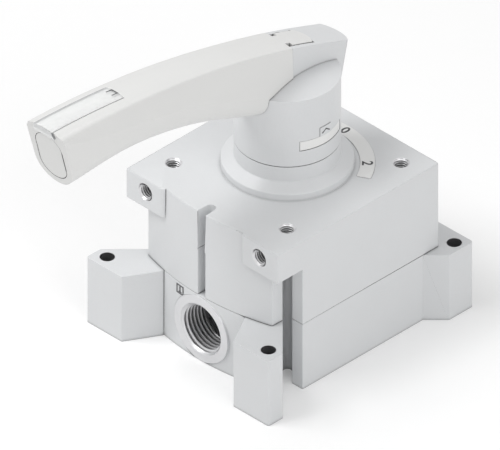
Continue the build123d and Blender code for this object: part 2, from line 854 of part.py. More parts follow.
def make_hub():
    """Hub with its spine, the tang inside the grip and the spindle socket."""
    flare_z = hub_shoulder_z - tail_flare_drop
    flare = TangentArc((hub_radius, flare_z), (tail_radius, tail_top_z), tangent=(0, 1))
    rest = Polyline(
        (tail_radius, tail_top_z),
        (tail_radius, above_all_z),
        (0, above_all_z),
        (0, flare_z),
        (hub_radius, flare_z),
    )
    tail = revolve(make_face(Plane.XZ * (Curve() + [flare, rest])), axis=Axis.Z)
    spine = extrude(spine_outline(), spine_half_width, both=True) & tail

    rib_foot_y = hub_radius - rib_nose_radius - seat_gap
    rib_head_y = rib_top_y - rib_nose_radius
    lean = Vector(0, rib_head_y - rib_foot_y, tail_top_z - hub_low_z)
    nose = extrude(Pos(0, rib_foot_y, hub_low_z) * Circle(rib_nose_radius), 2 * lean.length, dir=lean)
    rib = extrude(spine_outline(), rib_half_width, both=True) & nose
    hub = drum_form() + rib + spine

    tang = lever_form(grip_wall + seat_gap, grip_top_wall + seat_gap)
    half = tang_half_width
    tang &= block((-half, half), (split_y - tang_length, split_y + cut_over), (0, above_all_z))
    hub += tang

    socket_half = square_side / 2 + run_gap
    socket = (-socket_half, socket_half)
    hub -= block(socket, socket, (hub_low_z - cut_over, square_top_z + seat_gap))
    hub -= post(stem_radius + seat_gap, hub_low_z - cut_over, square_low_z + seat_gap)
    hub -= post(hub_screw_hole, square_top_z, hub_web_top_z + cut_over)
    hub -= post(hub_head_bore, hub_web_top_z, above_all_z)
    hub -= tube(core_pocket_outer, core_pocket_inner, hub_low_z - cut_over, hub_low_z + core_pocket_height)
    hub -= tongue_form(grip_gap)

    band_z = hub_low_z + band_low
    ring = tube(hub_radius + cut_over, hub_radius - band_depth, band_z, band_z + band_height)
    hub -= ring & sector(band_half_angle, band_z, band_z + band_height)
    tab_z = band_z + band_height
    tab = tube(hub_radius + tab_proud, hub_radius - cut_over, tab_z, tab_z + tab_height)
    hub += tab & sector(tab_half_angle, tab_z, tab_z + tab_height)
    return hub


def sector(half_angle, low, high):
    """Upright wedge about +X, wider than the hub."""
    reach = 2 * hub_radius
    corner = on_circle(reach, half_angle)
    wedge = make_face(Polyline((0, 0), (corner[0], -corner[1]), corner, close=True))
    return prism(wedge, low, high)


def make_grip():
    """Hollow grip shell with its tongue, label recess and plug opening."""
    outer = split(lever_form(), bisect_by=tip_plane, keep=Keep.BOTTOM)
    inner_plane = tip_plane.offset(-tip_wall)
    cavity = split(lever_form(grip_wall, grip_top_wall), bisect_by=inner_plane, keep=Keep.BOTTOM)
    grip = outer - cavity
    wide = 2 * hub_radius
    grip -= block((-wide, wide), (split_y, wide), (0, above_all_z))
    grip -= drum_form(grip_gap)
    grip += tongue_form()
    grip -= root_notches()
    grip -= label_column(label_side_gap) & (lever_form() - Pos(0, 0, -label_stack()) * lever_form())
    opening_depth = max(plug_skirt, tip_wall) + seat_gap
    grip -= tip_plane * extrude(plug_outline(press_gap), opening_depth, both=True)
    return grip


def label_stack():
    """Depth of the recess for the label card and its cover."""
    return label_cover_thickness + card_gap + label_card_thickness - label_proud


def label_column(grow=0.0):
    """Upright column over the label's outline, with its arched end."""
    half = label_half_width + grow
    start = label_start_y + grow
    end = top_tip[0] - label_length
    arch = ThreePointArc((half, start - label_arch), (0, start), (-half, start - label_arch))
    sides = Polyline((-half, start - label_arch), (-half, end), (half, end), (half, start - label_arch))
    return prism(make_face(Curve() + [arch, sides]), hub_low_z, above_all_z)


def label_layer(high_offset, low_offset, plane):
    """Layer of the label between two copies of the lever's top."""
    column = label_column()
    layer = column & (Pos(0, 0, high_offset) * lever_form())
    layer -= column & (Pos(0, 0, low_offset) * lever_form())
    return split(layer, bisect_by=plane, keep=Keep.BOTTOM)


def make_label_card():
    """Thin card under the label cover."""
    low = -label_stack()
    return label_layer(low + label_card_thickness, low, tip_plane)


def make_label_cover():
    """Clear cover of the label, with a lip over the end of the grip."""
    low = label_proud - label_cover_thickness
    lip_thickness = label_cover_thickness
    strip = label_layer(label_proud, low, tip_plane.offset(lip_thickness))
    half = label_half_width
    foot = label_lip_half_width
    right = [(foot, -label_lip_drop), (half, 0), (half, half)]
    left = [(-x, y) for x, y in reversed(right)]
    lip = tip_plane * extrude(make_face(Polyline(*right, *left, close=True)), lip_thickness)
    return strip - nail_scoop() + (lip & Pos(0, 0, label_proud) * lever_form())


def nail_scoop():
    """Sloping cutter for the place where a nail lifts the label cover."""
    start_y = label_start_y - nail_length
    end_y = label_start_y + cut_over
    start_z = lever_top(start_y) + lever_crown(start_y) + label_proud
    end_z = lever_top(end_y) + lever_crown(end_y) + label_proud
    slope = Polyline((start_y, start_z), (end_y, end_z - nail_depth), (end_y, end_z + cut_over), close=True)
    return extrude(side_plane * make_face(slope), nail_half_width, both=True)


def plug_outline(grow=0.0):
    """Oval of the end plug in the plane of the lever's tip."""
    width = plug_width + 2 * grow
    height = plug_height + 2 * grow
    return Pos(0, -plug_drop - plug_height / 2) * Rot(0, 0, 90) * SlotOverall(height, width)


def make_plug():
    """End plug with a hollow skirt inside the grip."""
    plate = extrude(plug_outline(), -plug_plate)
    skirt = extrude(plug_outline(-seal_gap) - plug_outline(-plug_wall), -plug_skirt)
    return tip_plane * (plate + skirt)


def make_hub_screw():
    """Screw that clamps the hub on the square."""
    reach = hub_screw_length
    screw = cap_screw(
        hub_screw_radius, hub_head_radius, hub_head_height,
        reach, hub_key_size, hub_key_depth,
    )
    return Pos(0, 0, hub_web_top_z + hub_washer_thickness) * Rot(180, 0, 0) * screw


def make_hub_washer():
    """Washer under the hub screw."""
    return tube(hub_head_bore - seat_gap, hub_screw_hole, hub_web_top_z,
                hub_web_top_z + hub_washer_thickness)


nodes = {
    "base_housing": make_base,
    "cover_housing": make_cover,
    "housing_seal": make_seal,
    "seat_gasket": lambda: seat_disc(seat_radius, seat_floor_z, seat_low_z),
    "seat_plate": lambda: seat_disc(seat_radius, seat_low_z, seat_top_z),
    "seat_dowels": make_dowels,
    "rotary_disc": make_disc,
    "disc_spring": make_disc_spring,
    "spindle": make_spindle,
    "spindle_o_rings": make_stem_rings,
    "thrust_washer": make_thrust_washer,
    "lower_bush": make_lower_bush,
    "upper_bush": make_upper_bush,
    "wiper_ring": make_wiper,
    "stop_pin": make_stop_pin,
    "detent_springs": make_detent_springs,
    "cover_screws": make_cover_screws,
    "dial_plate": make_dial,
    "handle_hub": make_hub,
    "hub_screw": make_hub_screw,
    "hub_washer": make_hub_washer,
    "grip_shell": make_grip,
    "label_card": make_label_card,
    "label_cover": make_label_cover,
    "end_plug": make_plug,
}

for name, make in nodes.items():
    export_step(make(), os.path.join("parts", name + ".step"))
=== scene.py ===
"""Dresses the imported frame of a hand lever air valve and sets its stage."""

import json
import math

import bmesh
import bpy
from mathutils import Matrix, Vector


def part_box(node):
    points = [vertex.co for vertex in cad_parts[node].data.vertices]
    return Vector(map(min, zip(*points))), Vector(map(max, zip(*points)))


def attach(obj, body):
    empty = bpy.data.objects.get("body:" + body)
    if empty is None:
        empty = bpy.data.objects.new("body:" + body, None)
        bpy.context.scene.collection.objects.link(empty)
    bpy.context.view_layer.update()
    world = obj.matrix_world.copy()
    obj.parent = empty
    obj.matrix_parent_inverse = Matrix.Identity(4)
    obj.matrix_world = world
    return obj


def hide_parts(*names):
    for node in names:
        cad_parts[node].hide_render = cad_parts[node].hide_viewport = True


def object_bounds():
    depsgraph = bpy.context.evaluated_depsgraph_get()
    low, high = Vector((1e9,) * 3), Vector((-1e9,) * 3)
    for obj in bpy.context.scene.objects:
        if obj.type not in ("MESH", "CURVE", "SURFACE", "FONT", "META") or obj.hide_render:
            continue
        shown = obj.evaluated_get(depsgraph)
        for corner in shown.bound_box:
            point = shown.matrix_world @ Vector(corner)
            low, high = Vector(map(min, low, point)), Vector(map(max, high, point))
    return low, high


bl_info = {
    "name": "Hand lever air valve",
    "version": (1, 0, 0),
    "blender": (4, 5, 0),
    "location": "View3D > Sidebar > Valve",
    "description": "Dresses the packed frame of a hand lever air valve",
    "category": "Object",
}

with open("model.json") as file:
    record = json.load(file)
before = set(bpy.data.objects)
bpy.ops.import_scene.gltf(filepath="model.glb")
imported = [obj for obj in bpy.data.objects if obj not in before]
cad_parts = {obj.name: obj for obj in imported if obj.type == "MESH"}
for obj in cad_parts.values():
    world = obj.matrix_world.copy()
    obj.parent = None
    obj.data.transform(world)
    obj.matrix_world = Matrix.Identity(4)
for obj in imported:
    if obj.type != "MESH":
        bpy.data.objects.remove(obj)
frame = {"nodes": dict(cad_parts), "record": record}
cad_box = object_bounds()
mounts = {mount["name"]: mount for mount in frame["record"]["mounts"]}

HOUSING = "housing"
LEVER = "lever"
FULL_TURN = 2 * math.pi
SMOOTH_ANGLE = math.radians(35)
CASTING_SMOOTH_ANGLE = math.radians(32)

PIPE_PORTS = ("front_port", "back_port", "left_port", "bottom_port")


def mm(value):
    """Length in metres of a length in millimetres."""
    return value / 1000


def half_spacings(pattern):
    """Half the spacings of a bolt pattern along X and Y."""
    dims = mounts[pattern]["dims"]
    return mm(dims["spacing_x_mm"]) / 2, mm(dims.get("spacing_y_mm", 0.0)) / 2


# Sizes of the solids that the record doesn't hold

BLOCK_HALF = mm(40.0)
BOW_RADIUS = mm(110.0)
BOW_FRONT = mm(45.7)
BOSS_RADIUS = mm(14.25)
BOSS_FACE = mm(45.9)
NECK_RING_RADII = (mm(25.0), mm(20.1))
HUB_DRUM_TOP = mm(95.5)
BAND_HALF_ANGLE = math.radians(32.0)
TAPPED_DEPTH = mm(11.5)
LUG_FACE_STEP = mm(0.7)

# Details of the pieces made here. Edges of the base below a height stay sharp, a dial figure's angle
# is in degrees about the spindle, and a figure's height is a share of its font's size.

SHARP_HEIGHT = mm(0.5)
THREAD_STEPS = 60
THREAD_CLEARANCE = mm(0.03)
DIAL_FIGURES = (("2", 43.7), ("0", 88.7), ("1", 133.7))
FIGURE_SHARE = 0.7
STROKE_DEPTH = mm(0.16)
MERGE_DISTANCE = mm(0.001)
TEXT_MERGE_DISTANCE = mm(0.0005)

# Finish of the castings and of bare metal

PAINT_COAT = 0.25
PAINT_COAT_ROUGHNESS = 0.25
MACHINED_ROUGHNESS = 0.3
BORE_ROUGHNESS = 0.42
TURNING_SCALE = 2600.0
TURNING_SHARE = 0.5
ZONE_EDGE = mm(0.06)

# Coordinates that count across an axis along X, Y or Z

ALONG_X, ALONG_Y, ALONG_Z = (0, 1, 1), (1, 0, 1), (1, 1, 0)

# Painted crevice shade: reach in millimetres, and how open a place is where it is darkest and where it ends

WIDE_CREVICE_SHADE = (2.2, 0.25, 0.8)
TIGHT_CREVICE_SHADE = (0.55, 0.35, 0.9)

# The stage, with its lengths in metres

FLOOR_SIZE = 6.0
FLOOR_GLOW = 0.16
WHITE = (1.0, 1.0, 1.0, 1.0)
KEY_PLACE, KEY_SIZE = (-0.42, -0.62, 1.25), 0.7
FILL_PLACE, FILL_SIZE = (1.1, -0.2, 0.7), 0.9
LAMP_TARGET = Vector((0.0, -0.02, 0.06))
VIEW_TARGET = Vector((-0.00986, -0.00986, 0.03904))
VIEW_SIDE = Vector((1.0, -1.0, 1.0))


def length_property(name, description, default_mm):
    """Length property whose default is given in millimetres."""
    return bpy.props.FloatProperty(
        name=name, description=description, default=mm(default_mm),
        unit="LENGTH", subtype="DISTANCE", precision=5,
    )


def colour_property(name, description, default):
    """Colour property of red, green and blue."""
    return bpy.props.FloatVectorProperty(
        name=name, description=description, default=default,
        subtype="COLOR", size=3, min=0.0, max=1.0,
    )


class ValveSizes(bpy.types.PropertyGroup):
    """Sizes of the pieces that are made here."""

    pipe_pitch: length_property("Pipe thread pitch", "Rise of the port threads in one turn", 1.814)
    pipe_ridge: length_property("Pipe thread depth", "How far the port threads stand into the bore", 1.16)
    pipe_sink: length_property("Pipe countersink", "Radius of the countersink at a port's face", 10.8)
    screw_pitch: length_property("Screw thread pitch", "Rise of the tapped holes' threads in one turn", 1.0)
    screw_ridge: length_property("Screw thread depth", "How far the tapped holes' threads stand in", 0.5)
    screw_sink: length_property("Screw countersink", "Radius of the countersink at a tapped hole", 3.3)
    digit_height: length_property("Digit height", "Height of the numbers on the dial", 4.0)
    digit_circle: length_property("Digit circle", "Radius of the circle through the numbers' middles", 29.9)
    digit_bold: length_property("Digit boldness", "How much the printed numbers are thickened", 0.1)
    print_depth: length_property("Print thickness", "Thickness of the printed numbers", 0.04)
    mark_side: length_property("Port mark", "Side of the square round the port's number", 4.0)
    mark_relief: length_property("Port mark relief", "How far the port's number stands proud", 0.2)
    # The nail mark's lines are painted shade along the notch's edges.
    mark_line: length_property("Mark line", "Width of the lines of port mark, pointer and nail mark", 0.42)
    edge_round: length_property("Edge round", "Rounding of the edges of the housings and the end plug", 0.35)
    hub_round: length_property("Hub round", "Rounding of the hub's edges", 0.5)
    plug_seam: length_property("Plug seam", "Gap all round between the end plug and the grip", 0.38)
    nail_width: length_property("Nail notch width", "Width of the notch at the label cover's end", 2.6)
    nail_length: length_property("Nail notch length", "Length of the notch at the label cover's end", 3.1)
    hub_radius: length_property("Hub radius", "Radius of the hub", 20.1)
    band_low: length_property("Band height above the base", "Lower edge of the hub's band", 86.4)
    band_height: length_property("Band width", "Height of the hub's band", 4.4)
    band_depth: length_property("Band depth", "Depth of the hub's band", 0.4)
    band_plate: length_property("Band plate", "Thickness of the plate in the band", 0.25)
    band_gap: length_property("Band gap", "Gap round the plate in the band", 0.22)
    tab_height: length_property("Tab height", "Height of the tab above the band", 3.9)
    tab_proud: length_property("Tab relief", "How far the tab stands proud of the hub", 0.3)


class ValveColours(bpy.types.PropertyGroup):
    """Colours of the finishes."""

    paint: colour_property("Casting paint", "Paint of the housings and the hub", (0.70, 0.71, 0.72))
    grip: colour_property("Grip plastic", "Moulded grip and end plug", (0.76, 0.76, 0.75))
    bare: colour_property("Bare aluminium", "Machined faces and bores", (0.66, 0.66, 0.67))
    steel: colour_property("Steel", "Screws, pins and spindle", (0.60, 0.60, 0.61))
    bronze: colour_property("Bronze", "Bushes and thrust washer", (0.66, 0.45, 0.24))
    rubber: colour_property("Rubber", "Seals and wiper", (0.025, 0.025, 0.026))
    plastic: colour_property("Disc plastic", "Rotary disc", (0.72, 0.70, 0.62))
    plate: colour_property("Plates", "Dial, plate in the hub's band and label card", (0.84, 0.84, 0.83))
    ink: colour_property("Ink", "Printed numbers", (0.03, 0.03, 0.035))
    # This colour also paints the shade along the nail notch's edges.
    mark: colour_property("Mark paint", "Port mark, pointer and nail mark", (0.12, 0.12, 0.125))
    clear: colour_property("Clear plastic", "Cover of the label", (0.95, 0.96, 0.96))
    floor: colour_property("Floor", "Floor under the valve", (0.86, 0.86, 0.86))


class ValveStage(bpy.types.PropertyGroup):
    """Camera and lights."""

    view_width: length_property("View width", "Width that the camera takes in", 186.43)
    key_power: bpy.props.FloatProperty(
        name="Key lamp", description="Power of the large lamp above on the left",
        default=9.9, subtype="POWER",
    )
    fill_power: bpy.props.FloatProperty(
        name="Fill lamp", description="Power of the soft lamp on the right",
        default=4.5, subtype="POWER",
    )
    sky_strength: bpy.props.FloatProperty(
        name="Sky", description="Strength of the even light from all round",
        default=0.52, min=0.0, max=1.0,
    )


def only(piece):
    """Leaves edit mode and makes one object the only selected one."""
    if bpy.context.mode != "OBJECT":
        bpy.ops.object.mode_set(mode="OBJECT")
    bpy.ops.object.select_all(action="DESELECT")
    if piece is not None:
        bpy.context.view_layer.objects.active = piece
        piece.select_set(True)


def new_piece(name):
    """Names the piece, lamp or camera that was just added, which is the active one."""
    piece = bpy.context.object
    piece.name = name
    piece.data.name = name
    return piece


def modify(piece, kind, **values):
    """Adds a modifier to a piece, sets its values and applies it."""
    only(piece)
    bpy.ops.object.modifier_add(type=kind)
    modifier = piece.modifiers[-1]
    for key, value in values.items():
        setattr(modifier, key, value)
    bpy.ops.object.modifier_apply(modifier=modifier.name)


def settle(piece):
    """Puts a piece's place, turn and scale into its mesh."""
    only(piece)
    bpy.ops.object.transform_apply(location=True, rotation=True, scale=True)


def put(thing, turn, place):
    """Turns a piece, a lamp or the camera and moves it to its place."""
    thing.rotation_mode = "QUATERNION"
    thing.rotation_quaternion = turn
    thing.location = place


def edit_all(piece):
    """Goes into edit mode on a piece, with all of it selected."""
    only(piece)
    bpy.ops.object.mode_set(mode="EDIT")
    bpy.ops.mesh.select_all(action="SELECT")


def face_outwards(piece):
    """Makes the faces of a closed piece point outwards."""
    edit_all(piece)
    bpy.ops.mesh.normals_make_consistent(inside=False)
    bpy.ops.object.mode_set(mode="OBJECT")


def dress(piece, material):
    """Gives a piece its one material."""
    piece.data.materials.clear()
    piece.data.materials.append(material)


def along(axis):
    """Turn that takes +Z to an axis."""
    return Vector(axis).to_track_quat("Z", "Y")


# Node groups of effects, each made once and placed with its own values


def new_group(name, inputs, outputs):
    """Empty shader node group with float inputs and named outputs."""
    group = bpy.data.node_groups.new(name, "ShaderNodeTree")
    for socket, default in inputs:
        item = group.interface.new_socket(name=socket, in_out="INPUT", socket_type="NodeSocketFloat")
        item.default_value = default
    for socket in outputs:
        group.interface.new_socket(name=socket, in_out="OUTPUT", socket_type="NodeSocketFloat")
    return group, group.nodes.new("NodeGroupInput"), group.nodes.new("NodeGroupOutput")


def set_inputs(node, **values):
    """Sets inputs of a node by their names, in which an underscore stands for a space."""
    for key, value in values.items():
        node.inputs[key.replace("_", " ")].default_value = value


def feed(links, socket, value):
    """Gives a socket a number or the value of another socket."""
    if isinstance(value, (int, float)):
        socket.default_value = value
    else:
        links.new(value, socket)


def source(socket):
    """Socket that feeds another one."""
    return socket.links[0].from_socket


def add_noise(nodes, links, coordinates, scale, detail, roughness=0.55):
    """Noise texture on object coordinates, with its scale from a socket."""
    noise = nodes.new("ShaderNodeTexNoise")
    set_inputs(noise, Detail=detail, Roughness=roughness)
    links.new(coordinates, noise.inputs["Vector"])
    links.new(scale, noise.inputs["Scale"])
    return noise.outputs["Fac"]


def add_math(nodes, links, operation, first, second):
    """Math node of two values, each from a socket or a number."""
    node = nodes.new("ShaderNodeMath")
    node.operation = operation
    feed(links, node.inputs[0], first)
    feed(links, node.inputs[1], second)
    return node.outputs["Value"]


def add_vector_math(nodes, links, operation, *vectors):
    """Vector math node of one or two vectors from sockets."""
    node = nodes.new("ShaderNodeVectorMath")
    node.operation = operation
    for socket, vector in zip(node.inputs, vectors):
        links.new(vector, socket)
    return node


def uneven_tone_group():
    """Slow and fine variation round zero, for colour and gloss."""
    name = "Uneven tone"
    if name in bpy.data.node_groups:
        return bpy.data.node_groups[name]
    inputs = [("Patch Scale", 40.0), ("Speck Scale", 900.0)]
    group, entry, leave = new_group(name, inputs, ["Patches", "Specks"])
    nodes, links = group.nodes, group.links
    coordinates = nodes.new("ShaderNodeTexCoord").outputs["Object"]
    for socket, output, detail in (("Patch Scale", "Patches", 4.0), ("Speck Scale", "Specks", 2.0)):
        value = add_noise(nodes, links, coordinates, entry.outputs[socket], detail)
        links.new(add_math(nodes, links, "SUBTRACT", value, 0.5), leave.inputs[output])
    return group


def skin_group():
    """Height of a painted or moulded skin: soft orange peel with a fine grain on it."""
    name = "Moulded skin"
    if name in bpy.data.node_groups:
        return bpy.data.node_groups[name]
    inputs = [("Peel Scale", 500.0), ("Grain Scale", 2600.0), ("Grain Share", 0.3)]
    group, entry, leave = new_group(name, inputs, ["Height"])
    nodes, links = group.nodes, group.links
    coordinates = nodes.new("ShaderNodeTexCoord").outputs["Object"]
    peel = add_noise(nodes, links, coordinates, entry.outputs["Peel Scale"], 2.0)
    grain = add_noise(nodes, links, coordinates, entry.outputs["Grain Scale"], 3.0, 0.7)
    shared = add_math(nodes, links, "MULTIPLY", grain, entry.outputs["Grain Share"])
    links.new(add_math(nodes, links, "ADD", peel, shared), leave.inputs["Height"])
    return group


def turning_group():
    """Height of fine rings left by a turning tool, from a place measured across its axis."""
    name = "Turning marks"
    if name in bpy.data.node_groups:
        return bpy.data.node_groups[name]
    group, entry, leave = new_group(name, [("Ring Scale", 1800.0)], ["Height"])
    item = group.interface.new_socket(name="Vector", in_out="INPUT", socket_type="NodeSocketVector")
    item.default_value = (0.0, 0.0, 0.0)
    nodes, links = group.nodes, group.links
    length = add_vector_math(nodes, links, "LENGTH", entry.outputs["Vector"])
    waves = add_math(nodes, links, "MULTIPLY", length.outputs["Value"], entry.outputs["Ring Scale"])
    noise = nodes.new("ShaderNodeTexNoise")
    noise.noise_dimensions = "1D"
    set_inputs(noise, Detail=3.0, Scale=1.0)
    links.new(waves, noise.inputs["W"])
    links.new(noise.outputs["Fac"], leave.inputs["Height"])
    return group


def zone_group():
    """Mask of what lies within a radius of a point or an axis, and the place seen from it."""
    name = "Round zone"
    if name in bpy.data.node_groups:
        return bpy.data.node_groups[name]
    group, entry, leave = new_group(name, [("Radius", 0.01), ("Soft Edge", 0.0001)], ["Mask"])
    for socket in ("Vector", "Middle", "Keep"):
        group.interface.new_socket(name=socket, in_out="INPUT", socket_type="NodeSocketVector")
    group.interface.new_socket(name="Offset", in_out="OUTPUT", socket_type="NodeSocketVector")
    nodes, links = group.nodes, group.links
    shift = add_vector_math(nodes, links, "SUBTRACT", entry.outputs["Vector"], entry.outputs["Middle"])
    flat = add_vector_math(nodes, links, "MULTIPLY", shift.outputs["Vector"], entry.outputs["Keep"])
    distance = add_vector_math(nodes, links, "LENGTH", flat.outputs["Vector"])
    links.new(flat.outputs["Vector"], leave.inputs["Offset"])
    inside = add_math(nodes, links, "SUBTRACT", entry.outputs["Radius"], distance.outputs["Value"])
    share = add_math(nodes, links, "DIVIDE", inside, entry.outputs["Soft Edge"])
    above = add_math(nodes, links, "MAXIMUM", share, 0.0)
    links.new(add_math(nodes, links, "MINIMUM", above, 1.0), leave.inputs["Mask"])
    return group


def new_material(name):
    """Empty node material with its Principled shader."""
    material = bpy.data.materials.new(name)
    material.use_nodes = True
    shader = material.node_tree.nodes["Principled BSDF"]
    return material, material.node_tree.nodes, material.node_tree.links, shader


def place_group(nodes, group, **values):
    """Node that uses a group with its own values."""
    node = nodes.new("ShaderNodeGroup")
    node.node_tree = group
    set_inputs(node, **values)
    return node


def openness(nodes, links, reach, low, high, dark):
    """Painted shade: a value that falls from 1 to a dark end in crevices, from ambient occlusion."""
    shade = nodes.new("ShaderNodeAmbientOcclusion")
    shade.samples = 8
    set_inputs(shade, Distance=mm(reach))
    soft = nodes.new("ShaderNodeMapRange")
    set_inputs(soft, From_Min=low, From_Max=high, To_Min=dark)
    links.new(shade.outputs["AO"], soft.inputs["Value"])
    return soft.outputs["Result"]


def wander(nodes, links, tone, middle, slow, fine):
    """Value round a middle that drifts by a slow and a fine share of an uneven tone."""
    drift = add_math(nodes, links, "MULTIPLY", tone.outputs["Patches"], slow)
    specks = add_math(nodes, links, "MULTIPLY", tone.outputs["Specks"], fine)
    return add_math(nodes, links, "ADD", add_math(nodes, links, "ADD", drift, specks), middle)


def tint(nodes, links, shader, colour, tone, depth, crevice_shade=0.0):
    """Feeds the base colour: a tone that wanders a little, with painted shade that darkens it in crevices."""
    speck_share = 0.6
    value = wander(nodes, links, tone, 1.0, depth, depth * speck_share)
    # Painted shade: ambient occlusion darkens the colour in crevices.
    if crevice_shade:
        for reach_and_limits in (WIDE_CREVICE_SHADE, TIGHT_CREVICE_SHADE):
            shade = openness(nodes, links, *reach_and_limits, 1.0 - crevice_shade)
            value = add_math(nodes, links, "MULTIPLY", value, shade)
    mix = nodes.new("ShaderNodeMix")
    mix.data_type = "RGBA"
    mix.blend_type = "MULTIPLY"
    set_inputs(mix, Factor=1.0, A=(*colour, 1.0))
    links.new(value, mix.inputs["B"])
    links.new(mix.outputs["Result"], shader.inputs["Base Color"])


def roughen(nodes, links, shader, tone, middle, spread):
    """Feeds the roughness: a middle value with a slow and a fine drift."""
    links.new(wander(nodes, links, tone, middle, spread, spread), shader.inputs["Roughness"])


def bump(nodes, links, shader, height, depth_mm):
    """Feeds the normal from a height."""
    node = nodes.new("ShaderNodeBump")
    set_inputs(node, Distance=mm(depth_mm))
    links.new(height, node.inputs["Height"])
    links.new(node.outputs["Normal"], shader.inputs["Normal"])


def mix_by(nodes, links, mask, first, second):
    """Value that goes from a first to a second one by a mask."""
    node = nodes.new("ShaderNodeMix")
    links.new(mask, node.inputs["Factor"])
    feed(links, node.inputs["A"], first)
    feed(links, node.inputs["B"], second)
    return node.outputs["Result"]


def mix_colours(nodes, links, mask, first, second):
    """Colour that goes from a socket's to a fixed one by a mask."""
    node = nodes.new("ShaderNodeMix")
    node.data_type = "RGBA"
    links.new(mask, node.inputs["Factor"])
    links.new(first, node.inputs["A"])
    set_inputs(node, B=(*second, 1.0))
    return node.outputs["Result"]


def made_once(make):
    """Lets a function make the material of a name only when it is first asked for."""
    def known(name, *values, **settings):
        return bpy.data.materials.get(name) or make(name, *values, **settings)
    return known


def colours():
    """The colours that the user can change."""
    return bpy.context.scene.valve_colours


@made_once
def surface_finish(
    name, colour, patch, speck, depth, roughness, spread, skin, relief, crevice_shade=0.0, **inputs,
):
    """Material of a cast, moulded or printed surface from the shared effects.

    Patch and speck are the scales of its slow and fine variation, depth is what they do to the
    colour and spread what they do to the roughness. Skin is the scales of peel and grain and the
    grain's share, relief its height in millimetres, and crevice how dark the painted shade in
    crevices gets.
    """
    material, nodes, links, shader = new_material(name)
    tone = place_group(nodes, uneven_tone_group(), Patch_Scale=patch, Speck_Scale=speck)
    tint(nodes, links, shader, colour, tone, depth, crevice_shade)
    roughen(nodes, links, shader, tone, roughness, spread)
    peel_scale, grain_scale, grain_share = skin
    surface = place_group(
        nodes, skin_group(), Peel_Scale=peel_scale, Grain_Scale=grain_scale, Grain_Share=grain_share,
    )
    bump(nodes, links, shader, surface.outputs["Height"], relief)
    set_inputs(shader, **inputs)
    return material


def casting_paint(name="Casting paint"):
    """Satin paint on a die casting, with soft orange peel and painted shade in its crevices."""
    return surface_finish(
        name, colours().paint, patch=35.0, speck=1500.0, depth=0.07, roughness=0.42, spread=0.12,
        skin=(420.0, 1900.0, 0.35), relief=0.05, crevice_shade=0.55,
        Coat_Weight=PAINT_COAT, Coat_Roughness=PAINT_COAT_ROUGHNESS,
    )


@made_once
def machined_casting(name, zones):
    """Painted casting whose machined faces and holes are bare, with turning marks.

    A zone is its middle and radius, the coordinates that count, whether it is mirrored, and
    the side of X, Y or Z that it is kept to, or None.
    """
    material = casting_paint(name)
    nodes, links = material.node_tree.nodes, material.node_tree.links
    shader = nodes["Principled BSDF"]
    coordinates = nodes.new("ShaderNodeTexCoord").outputs["Object"]
    mirrored = add_vector_math(nodes, links, "ABSOLUTE", coordinates).outputs["Vector"]
    apart = nodes.new("ShaderNodeSeparateXYZ")
    links.new(coordinates, apart.inputs["Vector"])
    mask, height = None, None
    for middle, radius, keep, is_mirrored, side in zones:
        zone = place_group(nodes, zone_group(), Radius=radius, Soft_Edge=ZONE_EDGE)
        set_inputs(zone, Middle=middle, Keep=keep)
        links.new(mirrored if is_mirrored else coordinates, zone.inputs["Vector"])
        part = zone.outputs["Mask"]
        if side:
            axis, sign = side
            signed = add_math(nodes, links, "MULTIPLY", apart.outputs[axis], sign)
            kept = add_math(nodes, links, "GREATER_THAN", signed, 0.0)
            part = add_math(nodes, links, "MULTIPLY", part, kept)
        rings = place_group(nodes, turning_group(), Ring_Scale=TURNING_SCALE)
        links.new(zone.outputs["Offset"], rings.inputs["Vector"])
        marks = add_math(nodes, links, "MULTIPLY", rings.outputs["Height"], part)
        mask = part if mask is None else add_math(nodes, links, "MAXIMUM", mask, part)
        height = marks if height is None else add_math(nodes, links, "MAXIMUM", height, marks)
    colour, roughness = shader.inputs["Base Color"], shader.inputs["Roughness"]
    relief = source(shader.inputs["Normal"]).node.inputs["Height"]
    turned = add_math(nodes, links, "MULTIPLY", height, TURNING_SHARE)
    links.new(mix_colours(nodes, links, mask, source(colour), colours().bare), colour)
    links.new(mask, shader.inputs["Metallic"])
    links.new(mix_by(nodes, links, mask, source(roughness), MACHINED_ROUGHNESS), roughness)
    links.new(mix_by(nodes, links, mask, PAINT_COAT, 0.0), shader.inputs["Coat Weight"])
    links.new(mix_by(nodes, links, mask, source(relief), turned), relief)
    return material


def base_casting():
    """Paint of the base, bare at its ports and screw holes."""
    port_bare, bottom_bare, foot_bare = mm(14.2), mm(11.2), mm(2.96)
    front, back, left, bottom = (mounts[port]["pos_m"] for port in PIPE_PORTS)
    foot_x, foot_y = half_spacings("foot_pattern")
    feet_y = mounts["foot_pattern"]["pos_m"][1]
    zones = (
        (front, port_bare, ALONG_Y, False, ("Y", -1)),
        (back, port_bare, ALONG_Y, False, ("Y", 1)),
        (left, port_bare, ALONG_X, False, ("X", -1)),
        (bottom, bottom_bare, ALONG_Z, False, None),
        ((foot_x, foot_y + feet_y, 0.0), foot_bare, ALONG_Z, True, ("Y", 1)),
        ((foot_x, foot_y - feet_y, 0.0), foot_bare, ALONG_Z, True, ("Y", -1)),
    )
    return machined_casting("Base casting", zones)


def cover_casting():
    """Paint of the cover, bare in its tapped holes."""
    top_bare, lug_bare = mm(3.3), mm(3.85)
    lug_x, _ = half_spacings("lug_pattern")
    lug_z = mounts["lug_pattern"]["pos_m"][2]
    zones = (
        ((*half_spacings("top_pattern"), 0.0), top_bare, ALONG_Z, True, None),
        ((lug_x, 0.0, lug_z), lug_bare, ALONG_Y, True, ("Y", -1)),
    )
    return machined_casting("Cover casting", zones)


